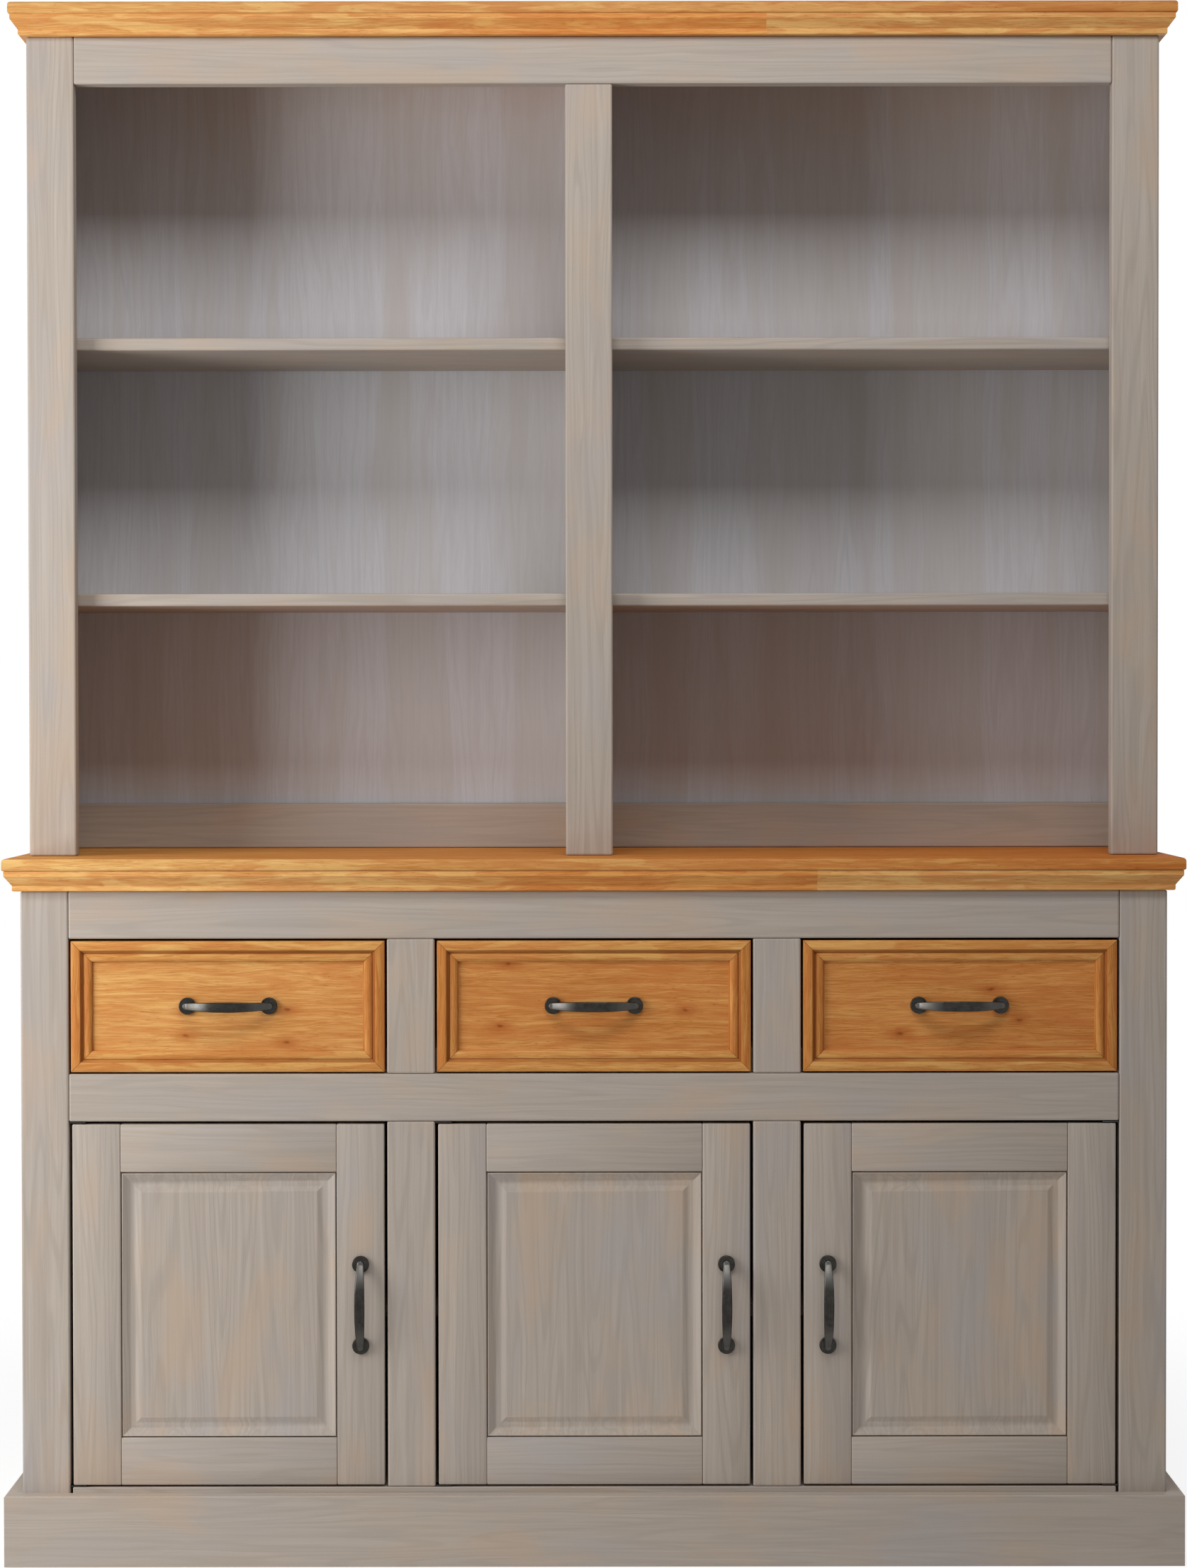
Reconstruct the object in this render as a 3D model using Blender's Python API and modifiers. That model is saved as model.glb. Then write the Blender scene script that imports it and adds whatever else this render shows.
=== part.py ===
# Pine sideboard with an open shelf hutch: three drawers over three hinged doors below,
# two bays of open shelves above. Metres, Z up, front towards -Y, origin at the middle of the foot.

import bpy
import bmesh
from math import cos, pi, sin
from mathutils import Vector

# Main sizes
BODY_WIDTH = 1.348          # over the sides of base and hutch
BODY_DEPTH = 0.340          # from the front of the base frame to the back
OVERHANG = 0.019            # plinth, counter and cornice beyond the body
GAP = 0.0003                # fitting gap between pieces that touch
EASE = 0.002                # rounded arrises of the frame boards

# Boards
FRAME_WIDTH = 0.056         # stiles, rails and posts, seen from the front
FRAME_THICK = 0.022         # face frame, front to back
SIDE_THICK = 0.018          # sides and partitions
FLOOR_THICK = 0.018
BACK_THICK = 0.008
DADO_DEPTH = 0.005          # housings that hold the shelves

# Plinth
PLINTH_HEIGHT = 0.0833
PLINTH_ARRIS = 0.001
FLOOR_END_GAP = 0.0032      # edge of the floor under the doors, to the stile

# Base front, from the doors up
DOOR_BOTTOM = 0.0925
DOOR_HEIGHT = 0.4255
DOOR_TOP_GAP = 0.0038
DRAWER_HEIGHT = 0.1535
DRAWER_GAP = 0.0028         # round a drawer front
HINGE_GAP = 0.0045
LATCH_GAP = 0.0037

# Doors
DOOR_THICK = 0.020
DOOR_FRAME_WIDTH = 0.056
PANEL_TONGUE = 0.008        # how far the panel enters the frame
PANEL_TONGUE_THICK = 0.006
PANEL_SET = 0.007           # front of the tongue behind the front of the door
PANEL_RIM_GAP = 0.0011      # between the frame and the panel's rim
PANEL_RIM_SET = 0.0008      # rim behind the front of the door
PANEL_COVE = 0.0225         # hollow margin between the rim and the field
COVE_FALL = 0.55            # slope of the hollow at the rim
COVE_RISE = 0.27            # slope of the hollow at the field
COVE_STEPS = 6
JOINT_GROOVE = 0.0019       # half width of the V groove where stile meets rail
PIVOT_INSET = 0.008         # door axis from the hinge edge
PIVOT_SET = 0.008           # door axis behind the front of the door
PIN_RADIUS = 0.003
PIN_LENGTH = 0.012
PLATE_THICK = 0.002
PLATE_WIDTH = 0.014

# Drawers
FRONT_THICK = 0.020
BAND_WIDTH = 0.0103         # outer flat of the mitred moulding
OGEE_WIDTH = 0.0042
BEAD_WIDTH = 0.0100
COVE_WIDTH = 0.0022
OGEE_DEPTH = 0.0042
FIELD_DEPTH = 0.0075        # panel behind the outer flat
BOX_BACK_GAP = 0.0267       # behind the box, to the back panel
BOX_HEIGHT = 0.120
BOX_WALL = 0.012
BOX_SIDE_GAP = 0.0035       # box inside the opening, each side
GUIDE_PLAY = 0.001          # side play of the box between its guides
GUIDE_HEIGHT = 0.025
LEDGE_THICK = 0.015
LEDGE_BEARING = 0.009       # ledge under the side of the box

# Shelf in each cupboard
CUPBOARD_SHELF_HEIGHT = 0.190   # above the floor
CUPBOARD_SHELF_THICK = 0.016
CUPBOARD_SHELF_SET = 0.060      # behind the front of the frame

# Counter and cornice share one edge moulding
LIP_OUT = 0.0083
LIP_HEIGHT = 0.0068
LIP_ROUND = 0.002
STEP = 0.0004
MOULD_OUT = 0.0168
SLOPE_HEIGHT = 0.0108
MOULD_HEIGHT = 0.0239
BOARD_THICK = 0.0142
NOSE = 0.0022               # rounding under the nose of the top boards
NOSE_TOP = 0.0040           # rounding over it

# Hutch
HUTCH_SETBACK = 0.067       # hutch frame behind the base frame
HUTCH_HEIGHT = 0.9744
POST_SHIFT = -0.005         # middle stile off the centre line
LOWER_BAY = 0.299
MIDDLE_BAY = 0.2915
SHELF_THICK = 0.015
SHELF_SET = 0.005           # shelf front behind the hutch frame
BACK_RAIL_HEIGHT = 0.0565
BACK_RAIL_THICK = 0.018

# Bow handles
HANDLE_SPAN = 0.096
HANDLE_PROJECTION = 0.026
ROSETTE_RADIUS = 0.010
ROSETTE_FACE_RADIUS = 0.0083
ROSETTE_THICK = 0.004
BOW_WIDTH = 0.012
BOW_END_WIDTH = 0.0083
BOW_THICK = 0.005
FOOT_RADIUS = 0.0036

# Places worked out from the sizes
FRONT_REACH = max(OVERHANG, HANDLE_PROJECTION + GAP)
FRAME_Y = (FRONT_REACH - BODY_DEPTH) / 2
BACK_Y = FRAME_Y + BODY_DEPTH
PANEL_Y = BACK_Y - BACK_THICK
INNER_Y = FRAME_Y + FRAME_THICK + GAP
HALF = BODY_WIDTH / 2
STILE_IN = HALF - FRAME_WIDTH
SIDE_IN = HALF - SIDE_THICK
OPENING = (BODY_WIDTH - 4 * FRAME_WIDTH) / 3
POST_X = OPENING / 2 + FRAME_WIDTH / 2
MIDDLE_Z = DOOR_BOTTOM + DOOR_HEIGHT + DOOR_TOP_GAP
DRAWER_Z = MIDDLE_Z + FRAME_WIDTH + DRAWER_GAP
TOP_RAIL_Z = DRAWER_Z + DRAWER_HEIGHT + DRAWER_GAP
CARCASS_TOP = TOP_RAIL_Z + FRAME_WIDTH
MOULD_Z = CARCASS_TOP + GAP
BOARD_Z = MOULD_Z + MOULD_HEIGHT + GAP
COUNTER_TOP = BOARD_Z + BOARD_THICK
BOX_Z = DRAWER_Z + GAP
FLOOR_TOP = DOOR_BOTTOM - PLATE_THICK - 2 * GAP
SHELF_Z = FLOOR_TOP + CUPBOARD_SHELF_HEIGHT
HUTCH_Y = FRAME_Y + HUTCH_SETBACK
HUTCH_IN_Y = HUTCH_Y + FRAME_THICK + GAP
HUTCH_Z = COUNTER_TOP + GAP
HUTCH_TOP = HUTCH_Z + HUTCH_HEIGHT
HUTCH_RAIL_Z = HUTCH_TOP - FRAME_WIDTH
LOWER_SHELF_Z = COUNTER_TOP + LOWER_BAY
UPPER_SHELF_Z = LOWER_SHELF_Z + SHELF_THICK + MIDDLE_BAY
RAIL_BACK_Y = PANEL_Y - GAP


def start():
    for old in list(bpy.data.objects):
        bpy.data.objects.remove(old, do_unlink=True)
    made = []
    for name in ("sideboard", "sideboard_cutters"):
        group = bpy.data.collections.get(name)
        if group is None:
            group = bpy.data.collections.new(name)
            bpy.context.scene.collection.children.link(group)
        made.append(group)
    return made


PARTS, CUTTERS = start()


def finish(name, colour, roughness, metallic=0.0):
    made = bpy.data.materials.new(name)
    made.use_nodes = True
    shader = made.node_tree.nodes["Principled BSDF"]
    shader.inputs["Base Color"].default_value = (*colour, 1.0)
    shader.inputs["Roughness"].default_value = roughness
    shader.inputs["Metallic"].default_value = metallic
    made.diffuse_color = (*colour, 1.0)
    return made


GREY_PINE = finish("grey_glazed_pine", (0.50, 0.44, 0.38), 0.6)
HONEY_PINE = finish("honey_stained_pine", (0.68, 0.36, 0.11), 0.5)
PLAIN_PINE = finish("plain_pine", (0.70, 0.52, 0.32), 0.65)
BACK_BOARD = finish("grey_back_board", (0.47, 0.42, 0.36), 0.65)
BLACK_IRON = finish("black_iron", (0.04, 0.04, 0.04), 0.4, 0.9)


def place(name, mesh, look, at, parent=None, cutter=False):
    made = bpy.data.objects.new(name, mesh)
    (CUTTERS if cutter else PARTS).objects.link(made)
    made.location = Vector(at)
    if parent:
        made.parent = parent
        made.location = Vector(at) - parent.location
    if cutter:
        made.hide_render = True
        made.display_type = "WIRE"
    else:
        mesh.materials.append(look)
    return made


def axis_empty(name, at):
    made = bpy.data.objects.new(name, None)
    PARTS.objects.link(made)
    made.location = Vector(at)
    made.empty_display_size = 0.05
    return made


def cube_mesh(name, size):
    mesh = bpy.data.meshes.new(name)
    bm = bmesh.new()
    bmesh.ops.create_cube(bm, size=1.0)
    bmesh.ops.scale(bm, vec=Vector(size), verts=bm.verts)
    bm.to_mesh(mesh)
    bm.free()
    return mesh


def round_edges(made, width, segments):
    bevel = made.modifiers.new("eased_edges", "BEVEL")
    bevel.width = width
    bevel.segments = segments
    bevel.limit_method = "ANGLE"


def board(name, x, y, z, look, ease=EASE, segments=2, parent=None, cutter=False):
    """A straight board that fills the ranges x, y and z."""
    size = (x[1] - x[0], y[1] - y[0], z[1] - z[0])
    middle = ((x[0] + x[1]) / 2, (y[0] + y[1]) / 2, (z[0] + z[1]) / 2)
    made = place(name, cube_mesh(name, size), look, middle, parent, cutter)
    if ease and not cutter:
        round_edges(made, ease, segments)
    return made


def cutting_box(name, x, y, z, parent=None):
    return board(name, x, y, z, None, parent=parent, cutter=True)


def rod_mesh(name, radius, length, sides, top_radius=None):
    mesh = bpy.data.meshes.new(name)
    bm = bmesh.new()
    bmesh.ops.create_cone(bm, cap_ends=True, segments=sides, radius1=radius,
                          radius2=radius if top_radius is None else top_radius, depth=length)
    bm.to_mesh(mesh)
    bm.free()
    return mesh


def combine(made, other, operation, solver="EXACT"):
    step = made.modifiers.new(operation.lower() + "_" + other.name, "BOOLEAN")
    step.operation = operation
    step.solver = solver
    step.object = other


def cut(made, other, solver="EXACT"):
    combine(made, other, "DIFFERENCE", solver)


def fuse(made, other):
    combine(made, other, "UNION")


def stacked(name, sections, look, at, facing_front=False, parent=None):
    """A block whose rectangular section changes along local Z. Each section is (z, x0, x1, y0, y1)."""
    bm = bmesh.new()
    bmesh.ops.create_cube(bm, size=2.0)

    def settle(verts, section):
        z, x0, x1, y0, y1 = section
        for vert in verts:
            vert.co = (x1 if vert.co.x > 0 else x0, y1 if vert.co.y > 0 else y0, z)

    lower = [vert for vert in bm.verts if vert.co.z < 0]
    upper = [vert for vert in bm.verts if vert.co.z > 0]
    top = [face for face in bm.faces if all(vert in upper for vert in face.verts)][0]
    settle(lower, sections[0])
    settle(upper, sections[1])
    for section in sections[2:]:
        grown = bmesh.ops.extrude_face_region(bm, geom=[top])["geom"]
        old = top
        top = [item for item in grown if isinstance(item, bmesh.types.BMFace)][0]
        settle([item for item in grown if isinstance(item, bmesh.types.BMVert)], section)
        if old.is_valid:
            bm.faces.remove(old)
    bmesh.ops.recalc_face_normals(bm, faces=bm.faces)
    mesh = bpy.data.meshes.new(name)
    bm.to_mesh(mesh)
    bm.free()
    made = place(name, mesh, look, at, parent)
    if facing_front:
        made.rotation_euler = (pi / 2, 0, 0)
    return made


def curve_to_mesh(curve_object, name):
    """The curve's solid as a welded mesh, in the curve's own axes."""
    bpy.context.view_layer.update()
    graph = bpy.context.evaluated_depsgraph_get()
    mesh = bpy.data.meshes.new_from_object(curve_object.evaluated_get(graph))
    mesh.name = name
    mesh.materials.clear()
    bm = bmesh.new()
    bm.from_mesh(mesh)
    bmesh.ops.remove_doubles(bm, verts=bm.verts, dist=0.00001)
    bmesh.ops.recalc_face_normals(bm, faces=bm.faces)
    bm.to_mesh(mesh)
    bm.free()
    bpy.data.objects.remove(curve_object, do_unlink=True)
    return mesh


def outline_board(name, points, span, look, level=False):
    """A board with one outline all along Y, or all along Z for a level board."""
    curve = bpy.data.curves.new(name + "_outline", "CURVE")
    curve.dimensions = "2D"
    curve.fill_mode = "BOTH"
    curve.extrude = (span[1] - span[0]) / 2
    spline = curve.splines.new("POLY")
    spline.points.add(len(points) - 1)
    for point, (across, up) in zip(spline.points, points):
        point.co = (across, up, 0.0, 1.0)
    spline.use_cyclic_u = True
    holder = bpy.data.objects.new(name + "_outline", curve)
    CUTTERS.objects.link(holder)
    mesh = curve_to_mesh(holder, name)
    middle = (span[0] + span[1]) / 2
    made = place(name, mesh, look, (0.0, 0.0, middle) if level else (0.0, middle, 0.0))
    if not level:
        made.rotation_euler = (pi / 2, 0, 0)
    return made


def housings(face, side, levels, thick):
    """Points down one face of an upright, from the top, with a housing at each shelf level."""
    points = []
    for level in sorted(levels, reverse=True):
        top = level + thick + GAP
        points += [(face, top), (face - side * DADO_DEPTH, top)]
        points += [(face - side * DADO_DEPTH, level - GAP), (face, level - GAP)]
    return points


def runner(face, side, edge):
    """Points down one face of an upright, round the drawer guide and the ledge under the drawer."""
    guide = edge + side * (BOX_SIDE_GAP - GUIDE_PLAY)
    ledge = edge + side * (BOX_SIDE_GAP + LEDGE_BEARING)
    rest = BOX_Z - GAP
    return [(face, rest + GUIDE_HEIGHT), (guide, rest + GUIDE_HEIGHT), (guide, rest),
            (ledge, rest), (ledge, rest - LEDGE_THICK), (face, rest - LEDGE_THICK)]


def edge_profile(with_board):
    """Section of the edge moulding: height, and reach beyond the body, from the bottom up."""
    turn = LIP_ROUND * (1 - sin(pi / 4))
    slope_top = LIP_HEIGHT + STEP + SLOPE_HEIGHT
    points = [(0.0, LIP_OUT - LIP_ROUND), (turn, LIP_OUT - turn), (LIP_ROUND, LIP_OUT),
              (LIP_HEIGHT, LIP_OUT), (LIP_HEIGHT + STEP, LIP_OUT + STEP),
              (slope_top, MOULD_OUT), (MOULD_HEIGHT, MOULD_OUT)]
    if with_board:
        points += [(MOULD_HEIGHT + height, reach) for height, reach in nose_profile()]
    return points


def nose_profile():
    """Section of a top board's rounded edge, the same way."""
    points = []
    for radius in (NOSE, NOSE_TOP):
        turn = radius * (1 - sin(pi / 4))
        points.append([(0.0, OVERHANG - radius), (turn, OVERHANG - turn), (radius, OVERHANG)])
    lower, upper = points
    return lower + [(BOARD_THICK - height, reach) for height, reach in reversed(upper)]


def moulded_board(name, profile, front, bottom, look):
    """A board whose front and ends carry the profile, square at the back."""
    middle = (front + BACK_Y) / 2
    sections = []
    for height, reach in profile:
        sections.append((height, -HALF - reach, HALF + reach, front - reach - middle, BACK_Y - middle))
    return stacked(name, sections, look, (0.0, middle, bottom))


def build_plinth():
    y_side = (FRAME_Y, BACK_Y)
    front = board("plinth_front", (-HALF - OVERHANG, HALF + OVERHANG), (FRAME_Y - OVERHANG, FRAME_Y - GAP),
                  (0.0, PLINTH_HEIGHT), GREY_PINE, ease=0)
    left = board("plinth_left", (-HALF - OVERHANG, -HALF - GAP), y_side, (0.0, PLINTH_HEIGHT), GREY_PINE, ease=0)
    right = board("plinth_right", (HALF + GAP, HALF + OVERHANG), y_side, (0.0, PLINTH_HEIGHT), GREY_PINE, ease=0)
    for made, sides in ((front, ((0, -1), (0, 1), (1, -1))), (left, ((0, -1),)), (right, ((0, 1),))):
        bm = bmesh.new()
        bm.from_mesh(made.data)
        top = max(vert.co.z for vert in bm.verts)
        edges = []
        for axis, side in sides:
            limit = max(vert.co[axis] * side for vert in bm.verts)
            for edge in bm.edges:
                ends = edge.verts
                if all(abs(v.co.z - top) < 1e-6 and abs(v.co[axis] * side - limit) < 1e-6 for v in ends):
                    edges.append(edge)
        bmesh.ops.bevel(bm, geom=edges, offset=PLINTH_ARRIS, segments=1, affect="EDGES")
        bm.to_mesh(made.data)
        bm.free()


def build_base():
    frame = (FRAME_Y, FRAME_Y + FRAME_THICK)
    inner = (INNER_Y, PANEL_Y - GAP)
    rail_x = (-STILE_IN + GAP, STILE_IN - GAP)
    board("base_stile_left", (-HALF, -STILE_IN), frame, (0.0, CARCASS_TOP), GREY_PINE)
    board("base_stile_right", (STILE_IN, HALF), frame, (0.0, CARCASS_TOP), GREY_PINE)
    board("base_top_rail", rail_x, frame, (TOP_RAIL_Z, CARCASS_TOP), GREY_PINE)
    board("base_middle_rail", rail_x, frame, (MIDDLE_Z, MIDDLE_Z + FRAME_WIDTH), GREY_PINE)
    for side, word in ((-1, "left"), (1, "right")):
        x = (side * POST_X - FRAME_WIDTH / 2, side * POST_X + FRAME_WIDTH / 2)
        board("drawer_post_" + word, x, frame, (MIDDLE_Z + FRAME_WIDTH + GAP, TOP_RAIL_Z - GAP), GREY_PINE)
        board("door_post_" + word, x, frame, (FLOOR_TOP + GAP, MIDDLE_Z - GAP), GREY_PINE)

    wide = SIDE_IN - GAP
    narrow = STILE_IN - FLOOR_END_GAP
    points = [(-narrow, FRAME_Y), (narrow, FRAME_Y), (narrow, inner[0]), (wide, inner[0]),
              (wide, inner[1]), (-wide, inner[1]), (-wide, inner[0]), (-narrow, inner[0])]
    floor = outline_board("base_floor", points, (FLOOR_TOP - FLOOR_THICK, FLOOR_TOP), GREY_PINE, level=True)
    round_edges(floor, PLINTH_ARRIS, 1)
    back_x = (-HALF, HALF)
    board("base_back_panel", back_x, (PANEL_Y, BACK_Y), (0.0, CARCASS_TOP), BACK_BOARD, ease=0)

    levels = (SHELF_Z,)
    for side, word in ((-1, "left"), (1, "right")):
        outer = side * HALF
        face = side * SIDE_IN
        down = runner(face, -side, side * STILE_IN) + housings(face, -side, levels, CUPBOARD_SHELF_THICK)
        points = [(outer, 0.0), (outer, CARCASS_TOP), (face, CARCASS_TOP)] + down + [(face, 0.0)]
        outline_board("base_side_" + word, points, inner, GREY_PINE)

        post = side * POST_X
        left = post - SIDE_THICK / 2
        right = post + SIDE_THICK / 2
        down = runner(right, 1, post + FRAME_WIDTH / 2) + housings(right, 1, levels, CUPBOARD_SHELF_THICK)
        up = runner(left, -1, post - FRAME_WIDTH / 2) + housings(left, -1, levels, CUPBOARD_SHELF_THICK)
        foot = FLOOR_TOP + GAP
        points = [(left, CARCASS_TOP), (right, CARCASS_TOP)] + down + [(right, foot), (left, foot)]
        points += list(reversed(up))
        outline_board("base_partition_" + word, points, inner, GREY_PINE)

    reach = DADO_DEPTH - GAP
    spans = ((-SIDE_IN - reach, -POST_X - SIDE_THICK / 2 + reach),
             (-POST_X + SIDE_THICK / 2 - reach, POST_X - SIDE_THICK / 2 + reach),
             (POST_X + SIDE_THICK / 2 - reach, SIDE_IN + reach))
    for word, span in zip(("left", "centre", "right"), spans):
        board("cupboard_shelf_" + word, span, (FRAME_Y + CUPBOARD_SHELF_SET, PANEL_Y - GAP),
              (SHELF_Z, SHELF_Z + CUPBOARD_SHELF_THICK), GREY_PINE, segments=1)

    moulded_board("counter_moulding", edge_profile(False), FRAME_Y, MOULD_Z, HONEY_PINE)
    moulded_board("counter_board", nose_profile(), FRAME_Y, BOARD_Z, HONEY_PINE)


def build_hutch():
    frame = (HUTCH_Y, HUTCH_Y + FRAME_THICK)
    inner = (HUTCH_IN_Y, PANEL_Y - GAP)
    z = (HUTCH_Z, HUTCH_TOP)
    board("hutch_stile_left", (-HALF, -STILE_IN), frame, z, GREY_PINE)
    board("hutch_stile_right", (STILE_IN, HALF), frame, z, GREY_PINE)
    middle = (POST_SHIFT - FRAME_WIDTH / 2, POST_SHIFT + FRAME_WIDTH / 2)
    board("hutch_stile_middle", middle, frame, (HUTCH_Z, HUTCH_RAIL_Z - GAP), GREY_PINE)
    board("hutch_top_rail", (-STILE_IN + GAP, STILE_IN - GAP), frame, (HUTCH_RAIL_Z, HUTCH_TOP), GREY_PINE)
    board("hutch_back_panel", (-HALF, HALF), (PANEL_Y, BACK_Y), z, BACK_BOARD, ease=0)
    rail_z = (HUTCH_Z, COUNTER_TOP + BACK_RAIL_HEIGHT)
    rail_y = (RAIL_BACK_Y - BACK_RAIL_THICK, RAIL_BACK_Y)
    board("hutch_back_rail", (-SIDE_IN + GAP, SIDE_IN - GAP), rail_y, rail_z, GREY_PINE)

    levels = (LOWER_SHELF_Z, UPPER_SHELF_Z)
    for side, word in ((-1, "left"), (1, "right")):
        face = side * SIDE_IN
        points = [(side * HALF, HUTCH_Z), (side * HALF, HUTCH_TOP), (face, HUTCH_TOP)]
        points += housings(face, -side, levels, SHELF_THICK) + [(face, HUTCH_Z)]
        outline_board("hutch_side_" + word, points, inner, GREY_PINE)

    left = POST_SHIFT - SIDE_THICK / 2
    right = POST_SHIFT + SIDE_THICK / 2
    points = [(left, HUTCH_TOP), (right, HUTCH_TOP)] + housings(right, 1, levels, SHELF_THICK)
    points += [(right, HUTCH_Z), (left, HUTCH_Z)] + list(reversed(housings(left, -1, levels, SHELF_THICK)))
    partition = outline_board("hutch_partition", points, inner, GREY_PINE)
    notch = cutting_box("back_rail_notch", (left - SIDE_THICK, right + SIDE_THICK),
                        (rail_y[0] - GAP, BACK_Y), (HUTCH_Z - SIDE_THICK, rail_z[1] + GAP))
    cut(partition, notch, "MANIFOLD")

    reach = DADO_DEPTH - GAP
    for level, height in (("lower", LOWER_SHELF_Z), ("upper", UPPER_SHELF_Z)):
        for word, span in (("left", (-SIDE_IN - reach, left + reach)), ("right", (right - reach, SIDE_IN + reach))):
            board("hutch_shelf_" + level + "_" + word, span, (HUTCH_Y + FRAME_THICK + SHELF_SET, PANEL_Y - GAP),
                  (height, height + SHELF_THICK), GREY_PINE)

    moulded_board("cornice", edge_profile(True), HUTCH_Y, HUTCH_TOP + GAP, HONEY_PINE)


def bow_mesh(name):
    """The bow of a handle: a flat rounded strap, wide in the middle, along X and out towards -Y."""
    section = bpy.data.curves.new(name + "_section", "CURVE")
    section.dimensions = "2D"
    ring = section.splines.new("POLY")
    ring.points.add(7)
    for number, point in enumerate(ring.points):
        turn = 2 * pi * (number + 0.5) / 8
        point.co = (BOW_THICK / 2 * cos(turn) / cos(pi / 8), BOW_WIDTH / 2 * sin(turn) / cos(pi / 8), 0.0, 1.0)
    ring.use_cyclic_u = True
    section_object = bpy.data.objects.new(name + "_section", section)
    CUTTERS.objects.link(section_object)

    bow = bpy.data.curves.new(name + "_bow", "CURVE")
    bow.dimensions = "3D"
    bow.twist_mode = "Z_UP"
    bow.bevel_mode = "OBJECT"
    bow.bevel_object = section_object
    bow.use_fill_caps = True
    line = bow.splines.new("POLY")
    steps = 12
    line.points.add(steps)
    low = ROSETTE_THICK + BOW_THICK / 2
    high = HANDLE_PROJECTION - BOW_THICK / 2
    for number, point in enumerate(line.points):
        along = 2 * number / steps - 1
        reach = low + (high - low) * (1 - abs(along) ** 2.3)
        width = BOW_END_WIDTH + (BOW_WIDTH - BOW_END_WIDTH) * (1 - along * along)
        point.co = ((HANDLE_SPAN / 2 + BOW_THICK / 2) * along, -reach, 0.0, 1.0)
        point.radius = width / BOW_WIDTH
    bow_object = bpy.data.objects.new(name + "_bow", bow)
    CUTTERS.objects.link(bow_object)
    mesh = curve_to_mesh(bow_object, name)
    bpy.data.objects.remove(section_object, do_unlink=True)
    return mesh


def handle(name, at, upright, parent):
    """A bow handle whose rosettes stand on the face at the given point."""
    made = place(name, bow_mesh(name), BLACK_IRON, at, parent)
    turn = (0.0, pi / 2, 0.0) if upright else (0.0, 0.0, 0.0)
    made.rotation_euler = turn
    for side, word in ((-1, "first"), (1, "second")):
        rosette = rod_mesh(name + "_rosette_" + word, ROSETTE_RADIUS, ROSETTE_THICK, 16, ROSETTE_FACE_RADIUS)
        foot_length = ROSETTE_THICK + BOW_THICK * 0.8
        foot = rod_mesh(name + "_foot_" + word, FOOT_RADIUS, foot_length, 10)
        for mesh, length in ((rosette, ROSETTE_THICK), (foot, foot_length)):
            other = place(mesh.name, mesh, None, (0.0, 0.0, 0.0), None, True)
            other.parent = made
            other.location = (side * HANDLE_SPAN / 2, -length / 2, 0.0)
            other.rotation_euler = (pi / 2, 0.0, 0.0)
            fuse(made, other)
    return made


def build_drawer(word, middle):
    width = OPENING - 2 * DRAWER_GAP
    guide = axis_empty("drawer_" + word + "_slide", (middle, FRAME_Y, DRAWER_Z))
    turn = EASE * (1 - sin(pi / 4))
    steps = [(0.0, 0.0), (FRONT_THICK - EASE, 0.0), (FRONT_THICK - turn, turn), (FRONT_THICK, EASE),
             (FRONT_THICK, BAND_WIDTH),
             (FRONT_THICK - OGEE_DEPTH * 0.35, BAND_WIDTH + OGEE_WIDTH * 0.6),
             (FRONT_THICK - OGEE_DEPTH, BAND_WIDTH + OGEE_WIDTH),
             (FRONT_THICK - OGEE_DEPTH, BAND_WIDTH + OGEE_WIDTH + BEAD_WIDTH),
             (FRONT_THICK - FIELD_DEPTH, BAND_WIDTH + OGEE_WIDTH + BEAD_WIDTH + COVE_WIDTH)]
    sections = []
    for depth, inset in steps:
        half_x = width / 2 - inset
        half_z = DRAWER_HEIGHT / 2 - inset
        sections.append((depth, -half_x, half_x, -half_z, half_z))
    centre_z = DRAWER_Z + DRAWER_HEIGHT / 2
    stacked("drawer_" + word + "_front", sections, HONEY_PINE,
            (middle, FRAME_Y + FRONT_THICK, centre_z), True, guide)

    half = OPENING / 2 - BOX_SIDE_GAP
    box_y = FRAME_Y + FRONT_THICK + GAP
    box_depth = PANEL_Y - BOX_BACK_GAP - box_y
    size = (2 * half, box_depth, BOX_HEIGHT)
    mesh = cube_mesh("drawer_" + word + "_box", size)
    bm = bmesh.new()
    bm.from_mesh(mesh)
    lid = max(bm.faces, key=lambda face: face.calc_center_median().z)
    bmesh.ops.delete(bm, geom=[lid], context="FACES_ONLY")
    bm.to_mesh(mesh)
    bm.free()
    box = place("drawer_" + word + "_box", mesh, PLAIN_PINE,
                (middle, box_y + box_depth / 2, BOX_Z + BOX_HEIGHT / 2), guide)
    wall = box.modifiers.new("walls", "SOLIDIFY")
    wall.thickness = BOX_WALL
    wall.offset = -1.0
    wall.use_even_offset = True

    face_y = FRAME_Y + FIELD_DEPTH - GAP
    handle("drawer_" + word + "_handle", (middle, face_y, centre_z), False, guide)


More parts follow.
